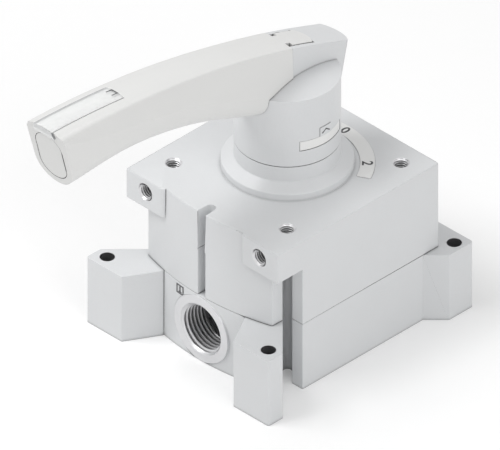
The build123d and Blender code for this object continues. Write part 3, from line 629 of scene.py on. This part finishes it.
def mark_paint():
    """Dark grey paint of the port mark and the pointer, and of the strips of painted shade at the nail
    notch's edges.
    """
    return surface_finish(
        "Mark paint", colours().mark, patch=60.0, speck=2500.0, depth=0.25, roughness=0.5,
        spread=0.12, skin=(900.0, 3000.0, 0.4), relief=0.03,
    )


def grip_plastic():
    """Moulded plastic with a fine eroded grain and painted shade in its crevices."""
    return surface_finish(
        "Grip plastic", colours().grip, patch=25.0, speck=2500.0, depth=0.05, roughness=0.47,
        spread=0.1, skin=(1500.0, 3800.0, 0.8), relief=0.04, crevice_shade=0.5, Specular_IOR_Level=0.45,
    )


def rubber():
    """Smooth black rubber."""
    return surface_finish(
        "Seal rubber", colours().rubber, patch=60.0, speck=3000.0, depth=0.2, roughness=0.55,
        spread=0.12, skin=(900.0, 3000.0, 0.4), relief=0.03,
    )


def disc_plastic():
    """Lapped plastic of the rotary disc."""
    return surface_finish(
        "Disc plastic", colours().plastic, patch=60.0, speck=2000.0, depth=0.06, roughness=0.35,
        spread=0.1, skin=(800.0, 2600.0, 0.3), relief=0.02,
    )


def plate_white():
    """Satin white face of the dial and of the plate in the hub's band, with painted shade in its crevices."""
    return surface_finish(
        "Plate white", colours().plate, patch=50.0, speck=2400.0, depth=0.04, roughness=0.4,
        spread=0.08, skin=(700.0, 3000.0, 0.3), relief=0.015, crevice_shade=0.3,
    )


def card_paper():
    """Matte card under the label cover, with a paper grain."""
    return surface_finish(
        "Card paper", colours().plate, patch=80.0, speck=3000.0, depth=0.05, roughness=0.8,
        spread=0.1, skin=(1800.0, 4200.0, 0.8), relief=0.03, Sheen_Weight=0.1,
    )


def printed_ink():
    """Dull black print."""
    return surface_finish(
        "Printed ink", colours().ink, patch=200.0, speck=4000.0, depth=0.3, roughness=0.5,
        spread=0.15, skin=(2000.0, 5000.0, 0.5), relief=0.01,
    )


@made_once
def machined_metal(name, colour, axis_point, axis_scale, roughness):
    """Bright metal with turning marks round an axis through a point, and painted shade in its crevices."""
    depth, crevice_shade, spread, relief = 0.08, 0.6, 0.15, 0.02
    material, nodes, links, shader = new_material(name)
    tone = place_group(nodes, uneven_tone_group(), Patch_Scale=90.0, Speck_Scale=2200.0)
    tint(nodes, links, shader, colour, tone, depth, crevice_shade)
    roughen(nodes, links, shader, tone, roughness, spread)
    set_inputs(shader, Metallic=1.0)
    mapping = nodes.new("ShaderNodeMapping")
    set_inputs(mapping, Location=[-c * s for c, s in zip(axis_point, axis_scale)], Scale=axis_scale)
    links.new(nodes.new("ShaderNodeTexCoord").outputs["Object"], mapping.inputs["Vector"])
    rings = place_group(nodes, turning_group(), Ring_Scale=TURNING_SCALE)
    links.new(mapping.outputs["Vector"], rings.inputs["Vector"])
    bump(nodes, links, shader, rings.outputs["Height"], relief)
    return material


def spindle_metal(name, colour):
    """Bright metal turned about the spindle's axis."""
    return machined_metal(name, colour, (0.0, 0.0, 0.0), (1.0, 1.0, 0.0), MACHINED_ROUGHNESS)


def bore_metal(name, place, axis):
    """Bare metal of one threaded bore, with turning marks round its axis."""
    across = [1.0 - abs(value) for value in axis]
    return machined_metal("Bore metal " + name, colours().bare, place, across, BORE_ROUGHNESS)


def wall_share(nodes, links, part):
    """Mask of the walls that stand across an axis, from that part of the normal."""
    share = nodes.new("ShaderNodeMapRange")
    set_inputs(share, From_Min=0.72, From_Max=0.9)
    links.new(part, share.inputs["Value"])
    return share.outputs["Result"]


def clear_plastic():
    """Clear moulded cover with faint ripples, denser where it is seen from the side, where its pale colour is
    a painted reflection.

    Its long side walls are painted darker, a painted shade like the dark edges of a clear plate, and all its
    walls are less clear.
    """
    side_wall_painted_shade = (0.3, 0.31, 0.32)
    face_alpha, rim_reflection_alpha, wall_alpha = 0.16, 0.75, 0.7
    depth, roughness, spread, relief = 0.03, 0.12, 0.08, 0.02
    material, nodes, links, shader = new_material("Clear plastic")
    tone = place_group(nodes, uneven_tone_group(), Patch_Scale=120.0, Speck_Scale=2500.0)
    tint(nodes, links, shader, colours().clear, tone, depth)
    roughen(nodes, links, shader, tone, roughness, spread)
    normal = add_vector_math(nodes, links, "ABSOLUTE", nodes.new("ShaderNodeTexCoord").outputs["Normal"])
    apart = nodes.new("ShaderNodeSeparateXYZ")
    links.new(normal.outputs["Vector"], apart.inputs["Vector"])
    side = wall_share(nodes, links, apart.outputs["X"])
    upright = add_math(nodes, links, "MAXIMUM", side, wall_share(nodes, links, apart.outputs["Y"]))
    colour = shader.inputs["Base Color"]
    # Painted shade: the long side walls are coloured dark grey.
    links.new(mix_colours(nodes, links, side, source(colour), side_wall_painted_shade), colour)
    # Painted reflection: the cover is less clear and shows its pale colour more where it is seen from the
    # side.
    edge = nodes.new("ShaderNodeLayerWeight")
    set_inputs(edge, Blend=0.35)
    face = mix_by(nodes, links, edge.outputs["Facing"], face_alpha, rim_reflection_alpha)
    links.new(mix_by(nodes, links, upright, face, wall_alpha), shader.inputs["Alpha"])
    surface = place_group(nodes, skin_group(), Peel_Scale=250.0, Grain_Scale=2600.0, Grain_Share=0.1)
    bump(nodes, links, shader, surface.outputs["Height"], relief)
    return material


# Pieces


def clip_thread(piece, sink_radius, inner_end, root):
    """Cuts a thread back to the cone of its mouth and lets it run out at its inner end."""
    run_out_slope = 0.6
    mesh = bmesh.new()
    mesh.from_mesh(piece.data)
    for vertex in mesh.verts:
        vertex.co.z = max(vertex.co.z, THREAD_CLEARANCE)
        radius = math.hypot(vertex.co.x, vertex.co.y)
        cone = sink_radius + THREAD_CLEARANCE - vertex.co.z
        run_out = min(root, root - run_out_slope * (inner_end - vertex.co.z))
        grown = max(radius, cone, run_out) / radius
        vertex.co.x *= grown
        vertex.co.y *= grown
    mesh.to_mesh(piece.data)
    mesh.free()


def narrow_where(piece, chosen, share, centre):
    """Narrows along Z the points of a section that a test picks, in edit mode."""
    mesh = bmesh.from_edit_mesh(piece.data)
    for vertex in mesh.verts:
        vertex.select_set(chosen(vertex.co.x))
    mesh.select_flush_mode()
    bmesh.update_edit_mesh(piece.data)
    bpy.ops.transform.resize(value=(1.0, 1.0, share), center_override=centre)


def thread_piece(name, bore_radius, ridge, pitch, sink_radius, length, place, axis):
    """Helical ridge of an internal thread, from a small section that a screw sweeps.

    It starts a little outside the mouth and is cut back to the mouth's cone. Its root stands
    a little way inside the bore's wall.
    """
    flank, crest = pitch * 0.46, pitch * 0.1
    buried = 0.12
    root = bore_radius + ridge * buried
    middle = root - ridge * (1 + buried) / 2
    near = ridge * 0.1
    start = -flank
    only(None)
    bpy.ops.mesh.primitive_plane_add(
        size=1.0, location=(middle, 0.0, start), rotation=(math.pi / 2, 0.0, 0.0),
    )
    piece = new_piece(name)
    piece.scale = (ridge * (1 + buried), 2 * flank, 1.0)
    settle(piece)
    bpy.ops.object.mode_set(mode="EDIT")
    bpy.ops.mesh.delete(type="ONLY_FACE")
    bpy.ops.mesh.select_all(action="SELECT")
    bpy.ops.mesh.subdivide(number_cuts=1)
    centre = (middle, 0.0, start)
    narrow_where(piece, lambda x: x < middle - near, crest / flank, centre)
    narrow_where(piece, lambda x: abs(x - middle) < near, (1.0 + crest / flank) / 2, centre)
    bpy.ops.object.mode_set(mode="OBJECT")
    turns = max(1, int((length - start - 2 * flank) / pitch))
    modify(
        piece, "SCREW", axis="Z", angle=FULL_TURN, screw_offset=pitch, iterations=turns,
        steps=THREAD_STEPS, render_steps=THREAD_STEPS, use_merge_vertices=False, use_smooth_shade=True,
    )
    edit_all(piece)
    bpy.ops.mesh.remove_doubles(threshold=MERGE_DISTANCE)
    bpy.ops.mesh.fill_holes(sides=8)
    bpy.ops.object.mode_set(mode="OBJECT")
    clip_thread(piece, sink_radius, start + flank + turns * pitch, root)
    face_outwards(piece)
    put(piece, along([-value for value in axis]), place)
    settle(piece)
    bpy.ops.object.shade_smooth_by_angle(angle=SMOOTH_ANGLE)
    return piece


def port_mouth(port):
    """Point where a port's axis meets the outer face of the base."""
    middle = Vector(mounts[port]["pos_m"])
    outward = Vector(mounts[port]["axis"])
    faces = {"front_port": BOSS_FACE, "back_port": BLOCK_HALF, "left_port": BLOCK_HALF, "bottom_port": 0.0}
    return middle + outward * (faces[port] - middle.dot(outward))


class VALVE_OT_port_threads(bpy.types.Operator):
    """Adds the pipe threads in the four ports"""

    bl_idname = "valve.port_threads"
    bl_label = "Port threads"

    def execute(self, context):
        sizes = context.scene.valve_sizes
        for port in PIPE_PORTS:
            dims = mounts[port]["dims"]
            axis = mounts[port]["axis"]
            mouth = port_mouth(port)
            piece = thread_piece(
                port + "_thread", mm(dims["r_mm"]), sizes.pipe_ridge, sizes.pipe_pitch,
                sizes.pipe_sink, mm(dims["length_mm"]), mouth, axis,
            )
            dress(piece, bore_metal(port, mouth, axis))
            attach(piece, HOUSING)
        return {"FINISHED"}


def tapped_holes():
    """Pattern, place and axis of each tapped hole of the cover."""
    holes = []
    for name, outward in (("top_pattern", 0.0), ("lug_pattern", LUG_FACE_STEP)):
        mount = mounts[name]
        axis = Vector(mount["axis"])
        face = Vector(mount["pos_m"]) + axis * outward
        x_half, y_half = half_spacings(name)
        for x in (-x_half, x_half):
            for y in sorted({-y_half, y_half}):
                holes.append((name, face + Vector((x, y, 0.0)), axis))
    return holes


class VALVE_OT_tapped_holes(bpy.types.Operator):
    """Adds the screw threads in the cover's tapped holes"""

    bl_idname = "valve.tapped_holes"
    bl_label = "Tapped holes"

    def execute(self, context):
        sizes = context.scene.valve_sizes
        for number, (pattern, place, axis) in enumerate(tapped_holes(), 1):
            name = "tapped_hole_thread_" + str(number)
            bore_radius = mm(mounts[pattern]["dims"]["hole_r_mm"])
            piece = thread_piece(
                name, bore_radius, sizes.screw_ridge, sizes.screw_pitch,
                sizes.screw_sink, TAPPED_DEPTH, place, axis,
            )
            dress(piece, bore_metal(name, place, axis))
            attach(piece, HOUSING)
        return {"FINISHED"}


def text_piece(name, words, height, depth, turn, place, bold):
    """Raised figure, turned to a face."""
    only(None)
    bpy.ops.object.text_add(location=(0.0, 0.0, 0.0))
    text = bpy.context.object.data
    text.body = words
    text.align_x = "CENTER"
    text.align_y = "CENTER"
    text.size = height / FIGURE_SHARE
    text.extrude = depth / 2
    text.offset = bold
    text.resolution_u = 6
    bpy.ops.object.convert(target="MESH")
    piece = new_piece(name)
    bpy.ops.object.origin_set(type="ORIGIN_GEOMETRY", center="BOUNDS")
    put(piece, turn, place)
    settle(piece)
    edit_all(piece)
    bpy.ops.mesh.remove_doubles(threshold=TEXT_MERGE_DISTANCE)
    bpy.ops.mesh.normals_make_consistent(inside=False)
    bpy.ops.object.mode_set(mode="OBJECT")
    return piece


def bar_piece(name, width, height, depth, turn, place):
    """Raised bar with bevelled edges, turned to a face."""
    bevel_share = 0.2
    only(None)
    bpy.ops.mesh.primitive_cube_add(size=1.0)
    piece = new_piece(name)
    piece.scale = (width, height, depth)
    settle(piece)
    modify(piece, "BEVEL", width=min(width, height, depth) * bevel_share, segments=2)
    put(piece, turn, place)
    settle(piece)
    return piece


class VALVE_OT_dial_numbers(bpy.types.Operator):
    """Prints the position numbers on the dial plate"""

    bl_idname = "valve.dial_numbers"
    bl_label = "Dial numbers"

    def execute(self, context):
        sizes = context.scene.valve_sizes
        radius, depth = sizes.digit_circle, sizes.print_depth
        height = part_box("dial_plate")[1].z + depth / 2
        for words, angle in DIAL_FIGURES:
            around = math.radians(angle)
            place = Vector((radius * math.cos(around), radius * math.sin(around), height))
            turn = Matrix.Rotation(around - math.pi / 2, 4, "Z").to_quaternion()
            name = "dial_number_" + words
            piece = text_piece(name, words, sizes.digit_height, depth, turn, place, sizes.digit_bold)
            dress(piece, printed_ink())
            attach(piece, HOUSING)
        return {"FINISHED"}


class VALVE_OT_port_marks(bpy.types.Operator):
    """Adds the cast number in its square beside the front port"""

    bl_idname = "valve.port_marks"
    bl_label = "Port mark"

    def execute(self, context):
        sizes = context.scene.valve_sizes
        side, line, depth = sizes.mark_side, sizes.mark_line, 2 * sizes.mark_relief
        x, z = -mm(11.5), mm(26.4)
        y = -BOW_FRONT + BOW_RADIUS - math.sqrt(BOW_RADIUS ** 2 - x ** 2)
        lean = Matrix.Rotation(math.asin(x / BOW_RADIUS), 4, "Z")
        turn = (lean @ Matrix.Rotation(math.pi / 2, 4, "X")).to_quaternion()

        def at(across, up):
            return Vector((x, y, z)) + turn @ Vector((across, up, 0.0))

        figure_height, figure_up, figure_bold = side * 0.55, line * 0.3, line * 0.2
        foot_width, foot_height, foot_down = side * 0.42, line * 0.8, side * 0.27
        reach = (side - line) / 2
        pieces = [text_piece("port_number", "1", figure_height, depth, turn, at(0.0, figure_up), figure_bold)]
        for name, width, height, across, up in (
            ("port_number_foot", foot_width, foot_height, 0.0, -foot_down),
            ("port_frame_low", side, line, 0.0, -reach),
            ("port_frame_high", side, line, 0.0, reach),
            ("port_frame_left", line, side, -reach, 0.0),
            ("port_frame_right", line, side, reach, 0.0),
        ):
            pieces.append(bar_piece(name, width, height, depth, turn, at(across, up)))
        for piece in pieces:
            dress(piece, mark_paint())
            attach(piece, HOUSING)
        return {"FINISHED"}


class VALVE_OT_nail_marks(bpy.types.Operator):
    """Adds dark strips of painted shade along the edges of the notch where a nail lifts the label cover"""

    bl_idname = "valve.nail_marks"
    bl_label = "Nail notch shade"

    def execute(self, context):
        sizes = context.scene.valve_sizes
        cover = frame["nodes"]["label_cover"]
        end_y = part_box("label_cover")[1].y
        end_inset = mm(0.35)
        above = cad_box[1].z + mm(5.0)
        up = Vector((0.0, 0.0, 1.0))

        def top(x, y):
            hit, place, _, _ = cover.ray_cast(Vector((x, y, above)), -up)
            if not hit:
                raise RuntimeError("no label cover under a nail mark")
            return place

        outer, inner = end_y - end_inset, end_y - sizes.nail_length
        line = sizes.mark_line
        side = (sizes.nail_width + line) / 2
        # Painted shade: one dark strip along each side of the notch and one along its end.
        runs = {
            "nail_mark_left": ((-side, inner), (-side, outer)),
            "nail_mark_right": ((side, inner), (side, outer)),
            "nail_mark_end": ((-side, outer), (side, outer)),
        }
        for name, (first, last) in runs.items():
            start, stop = top(*first), top(*last)
            run = stop - start
            across = run.normalized()
            upward = (up - across * up.dot(across)).normalized()
            turn = Matrix((across, upward.cross(across), upward)).transposed().to_quaternion()
            piece = bar_piece(name, run.length + line, line, STROKE_DEPTH, turn, (start + stop) / 2)
            dress(piece, mark_paint())
            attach(piece, LEVER)
        return {"FINISHED"}


def rounded_copy(node_name, rims, lowest, width):
    """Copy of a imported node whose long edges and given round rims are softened.

    A rim is a point on its axis, the axis and the radius. Edges below a height stay sharp.
    """
    flat_angle, edge_angle = math.radians(1.0), math.radians(40)
    rim_tolerance, shortest_edge = mm(0.1), mm(1.9)
    piece = bpy.data.objects.new(node_name + "_rounded", frame["nodes"][node_name].data.copy())
    bpy.context.scene.collection.objects.link(piece)
    only(piece)
    bpy.ops.mesh.customdata_custom_splitnormals_clear()
    edit_all(piece)
    bpy.ops.mesh.remove_doubles(threshold=MERGE_DISTANCE)
    bpy.ops.mesh.dissolve_limited(angle_limit=flat_angle)
    bpy.ops.object.mode_set(mode="OBJECT")
    mesh = bmesh.new()
    mesh.from_mesh(piece.data)
    weight = mesh.edges.layers.float.new("bevel_weight_edge")
    for edge in mesh.edges:
        middle = (edge.verts[0].co + edge.verts[1].co) / 2
        if len(edge.link_faces) != 2 or edge.calc_face_angle() < edge_angle or middle.z < lowest:
            continue
        from_rims = [abs((middle - centre).cross(axis).length - radius) for centre, axis, radius in rims]
        if edge.calc_length() > shortest_edge or min(from_rims, default=rim_tolerance) < rim_tolerance:
            edge[weight] = 1.0
    mesh.to_mesh(piece.data)
    mesh.free()
    modify(piece, "BEVEL", width=width, segments=2, limit_method="WEIGHT", use_clamp_overlap=False)
    bpy.ops.object.shade_smooth_by_angle(angle=CASTING_SMOOTH_ANGLE)
    modify(piece, "WEIGHTED_NORMAL", keep_sharp=True, weight=60)
    return piece


def slim_plug(piece, seam):
    """Makes the end plug narrower by its seam, with its outer face set back by less than that."""
    moved_out = 0.6
    edit_all(piece)
    bpy.ops.transform.shrink_fatten(value=-seam)
    bpy.ops.transform.translate(value=(0.0, -moved_out * seam, 0.0))
    bpy.ops.object.mode_set(mode="OBJECT")


class VALVE_OT_castings(bpy.types.Operator):
    """Softens the edges of the housings, the hub and the end plug"""

    bl_idname = "valve.castings"
    bl_label = "Castings"

    def execute(self, context):
        sizes = context.scene.valve_sizes
        up, forward, origin = Vector((0, 0, 1)), Vector((0, 1, 0)), Vector((0, 0, 0))
        boss = (Vector(mounts["front_port"]["pos_m"]), forward, BOSS_RADIUS)
        neck = [(origin, up, radius) for radius in NECK_RING_RADII]
        fine, coarse = sizes.edge_round, sizes.hub_round
        for node, rims, lowest, width, material, body, slot in (
            ("base_housing", [boss], SHARP_HEIGHT, fine, base_casting(), HOUSING, "housing_metal"),
            ("cover_housing", neck, 0.0, fine, cover_casting(), HOUSING, "housing_metal"),
            ("handle_hub", [], HUB_DRUM_TOP, coarse, casting_paint(), LEVER, "hub_metal"),
            ("end_plug", [], 0.0, fine, grip_plastic(), LEVER, "grip_plastic"),
        ):
            piece = rounded_copy(node, rims, lowest, width)
            if node == "end_plug":
                slim_plug(piece, sizes.plug_seam)
            dress(piece, material)
            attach(piece, body)
            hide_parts(node)
        return {"FINISHED"}


class VALVE_OT_hub_pointer(bpy.types.Operator):
    """Adds the plate in the hub's band and the pointer on its tab"""

    bl_idname = "valve.hub_pointer"
    bl_label = "Hub pointer"

    def execute(self, context):
        sizes = context.scene.valve_sizes
        gap = sizes.band_gap
        depth, height = sizes.band_plate, sizes.band_height - 2 * gap
        half_angle = BAND_HALF_ANGLE - gap / sizes.hub_radius
        radius = sizes.hub_radius - sizes.band_depth + depth / 2
        middle = (radius, 0.0, sizes.band_low + sizes.band_height / 2)
        only(None)
        bpy.ops.mesh.primitive_plane_add(size=1.0, location=middle, rotation=(math.pi / 2, 0.0, 0.0))
        plate = new_piece("band_plate")
        plate.scale = (depth, height, 1.0)
        settle(plate)
        plate.rotation_euler = (0.0, 0.0, -half_angle)
        settle(plate)
        bpy.ops.object.mode_set(mode="EDIT")
        bpy.ops.mesh.delete(type="ONLY_FACE")
        bpy.ops.mesh.select_all(action="SELECT")
        bpy.ops.mesh.spin(
            steps=40, angle=-2 * half_angle, center=(0.0, 0.0, 0.0), axis=(0.0, 0.0, 1.0),
        )
        bpy.ops.mesh.select_all(action="SELECT")
        bpy.ops.mesh.remove_doubles(threshold=MERGE_DISTANCE)
        bpy.ops.mesh.fill_holes(sides=4)
        bpy.ops.object.mode_set(mode="OBJECT")
        face_outwards(plate)
        bpy.ops.object.shade_smooth_by_angle(angle=SMOOTH_ANGLE)
        dress(plate, plate_white())
        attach(plate, LEVER)

        tab_middle = sizes.band_low + sizes.band_height + sizes.tab_height / 2
        tab_face = Vector((sizes.hub_radius + sizes.tab_proud, 0.0, tab_middle))
        upright = Matrix(((0, 0, 1), (1, 0, 0), (0, 1, 0))).to_quaternion()
        slope, half_stroke, line = math.radians(35), mm(1.05), sizes.mark_line
        for name, side in (("pointer_left", -1.0), ("pointer_right", 1.0)):
            turn = upright @ Matrix.Rotation(-side * slope, 3, "Z").to_quaternion()
            place = tab_face + Vector((0.0, side * half_stroke * math.cos(slope), 0.0))
            stroke = bar_piece(name, 2 * half_stroke + line, line, STROKE_DEPTH, turn, place)
            dress(stroke, mark_paint())
            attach(stroke, LEVER)
        return {"FINISHED"}


class VALVE_OT_carried_nodes(bpy.types.Operator):
    """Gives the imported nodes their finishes"""

    bl_idname = "valve.carried_nodes"
    bl_label = "Finishes of the packed nodes"

    def execute(self, context):
        steel = spindle_metal("Turned steel", colours().steel)
        bronze = spindle_metal("Turned bronze", colours().bronze)
        lapped = spindle_metal("Lapped aluminium", colours().bare)
        finishes = {
            "base_housing": casting_paint(), "cover_housing": casting_paint(),
            "handle_hub": casting_paint(), "grip_shell": grip_plastic(), "end_plug": grip_plastic(),
            "dial_plate": plate_white(), "label_card": card_paper(), "label_cover": clear_plastic(),
            "housing_seal": rubber(), "seat_gasket": rubber(), "spindle_o_rings": rubber(),
            "wiper_ring": rubber(), "rotary_disc": disc_plastic(), "seat_plate": lapped,
            "lower_bush": bronze, "upper_bush": bronze, "thrust_washer": bronze,
        }
        for name, node in frame["nodes"].items():
            dress(node, finishes.get(name, steel))
        return {"FINISHED"}


def add_lamp(name, power, size, place):
    """Large soft lamp that faces the valve."""
    only(None)
    bpy.ops.object.light_add(type="AREA", location=place)
    lamp = new_piece(name)
    lamp.data.energy = power
    lamp.data.size = size
    put(lamp, along(Vector(place) - LAMP_TARGET), place)


def seen_directly(nodes, links):
    """1 for rays of the camera, of gloss and through clear pieces, and 0 for the light on the valve."""
    path = nodes.new("ShaderNodeLightPath")
    seen = add_math(nodes, links, "ADD", path.outputs["Is Camera Ray"], path.outputs["Is Glossy Ray"])
    seen = add_math(nodes, links, "ADD", seen, path.outputs["Is Transmission Ray"])
    return add_math(nodes, links, "MINIMUM", seen, 1.0)


def floor_material():
    """Pale floor that the camera sees a little lighter, with its shadows kept."""
    depth = 0.01
    material, nodes, links, shader = new_material("Floor")
    tone = place_group(nodes, uneven_tone_group(), Patch_Scale=3.0, Speck_Scale=60.0)
    tint(nodes, links, shader, colours().floor, tone, depth)
    set_inputs(shader, Roughness=0.9, Specular_IOR_Level=0.1, Emission_Color=WHITE)
    glow = add_math(nodes, links, "MULTIPLY", seen_directly(nodes, links), FLOOR_GLOW)
    links.new(glow, shader.inputs["Emission Strength"])
    return material


def white_sky(strength):
    """World that is white where it is seen directly and lights the valve by a strength."""
    world = bpy.data.worlds.new("Sky")
    world.use_nodes = True
    nodes, links = world.node_tree.nodes, world.node_tree.links
    sky = nodes["Background"]
    set_inputs(sky, Color=WHITE)
    level = nodes.new("ShaderNodeMapRange")
    set_inputs(level, To_Min=strength, To_Max=1.0)
    links.new(seen_directly(nodes, links), level.inputs["Value"])
    links.new(level.outputs["Result"], sky.inputs["Strength"])
    return world


class VALVE_OT_stage(bpy.types.Operator):
    """Sets up the floor, the even sky, the lamps and the camera"""

    bl_idname = "valve.stage"
    bl_label = "Stage"

    def execute(self, context):
        scene = context.scene
        stage = scene.valve_stage
        scene.view_settings.view_transform = "Standard"
        only(None)
        bpy.ops.mesh.primitive_plane_add(size=FLOOR_SIZE, location=(0.0, 0.0, cad_box[0].z))
        floor = new_piece("floor")
        dress(floor, floor_material())

        scene.world = white_sky(stage.sky_strength)
        add_lamp("key_lamp", stage.key_power, KEY_SIZE, KEY_PLACE)
        add_lamp("fill_lamp", stage.fill_power, FILL_SIZE, FILL_PLACE)

        outward = VIEW_SIDE.normalized()
        bpy.ops.object.camera_add()
        camera = new_piece("camera")
        put(camera, along(outward), VIEW_TARGET + outward)
        camera.data.type = "ORTHO"
        camera.data.ortho_scale = stage.view_width
        camera.data.clip_start = 0.01
        camera.data.clip_end = 10.0
        scene.camera = camera
        return {"FINISHED"}


class VALVE_PT_panel(bpy.types.Panel):
    """Lists the steps that dress the valve"""

    bl_label = "Hand lever air valve"
    bl_idname = "VALVE_PT_panel"
    bl_space_type = "VIEW_3D"
    bl_region_type = "UI"
    bl_category = "Valve"

    def draw(self, context):
        for operator in OPERATORS:
            self.layout.operator(operator.bl_idname)
        for group in (context.scene.valve_sizes, context.scene.valve_colours, context.scene.valve_stage):
            box = self.layout.box()
            for key in group.__annotations__:
                box.prop(group, key)


GROUPS = {"valve_sizes": ValveSizes, "valve_colours": ValveColours, "valve_stage": ValveStage}
OPERATORS = (
    VALVE_OT_carried_nodes,
    VALVE_OT_castings,
    VALVE_OT_hub_pointer,
    VALVE_OT_port_threads,
    VALVE_OT_tapped_holes,
    VALVE_OT_dial_numbers,
    VALVE_OT_port_marks,
    VALVE_OT_nail_marks,
    VALVE_OT_stage,
)


def register():
    """Registers the classes and their settings on the scene."""
    for group in GROUPS.values():
        bpy.utils.register_class(group)
    for operator in OPERATORS:
        bpy.utils.register_class(operator)
    bpy.utils.register_class(VALVE_PT_panel)
    for name, group in GROUPS.items():
        setattr(bpy.types.Scene, name, bpy.props.PointerProperty(type=group))


def unregister():
    """Takes the settings and the classes away again."""
    for name in GROUPS:
        delattr(bpy.types.Scene, name)
    bpy.utils.unregister_class(VALVE_PT_panel)
    for operator in reversed(OPERATORS):
        bpy.utils.unregister_class(operator)
    for group in GROUPS.values():
        bpy.utils.unregister_class(group)


def main():
    """Dresses the valve and sets its stage."""
    register()
    bpy.ops.valve.carried_nodes()
    bpy.ops.valve.castings()
    bpy.ops.valve.hub_pointer()
    bpy.ops.valve.port_threads()
    bpy.ops.valve.tapped_holes()
    bpy.ops.valve.dial_numbers()
    bpy.ops.valve.port_marks()
    bpy.ops.valve.nail_marks()
    bpy.ops.valve.stage()


if __name__ == "__main__":
    main()
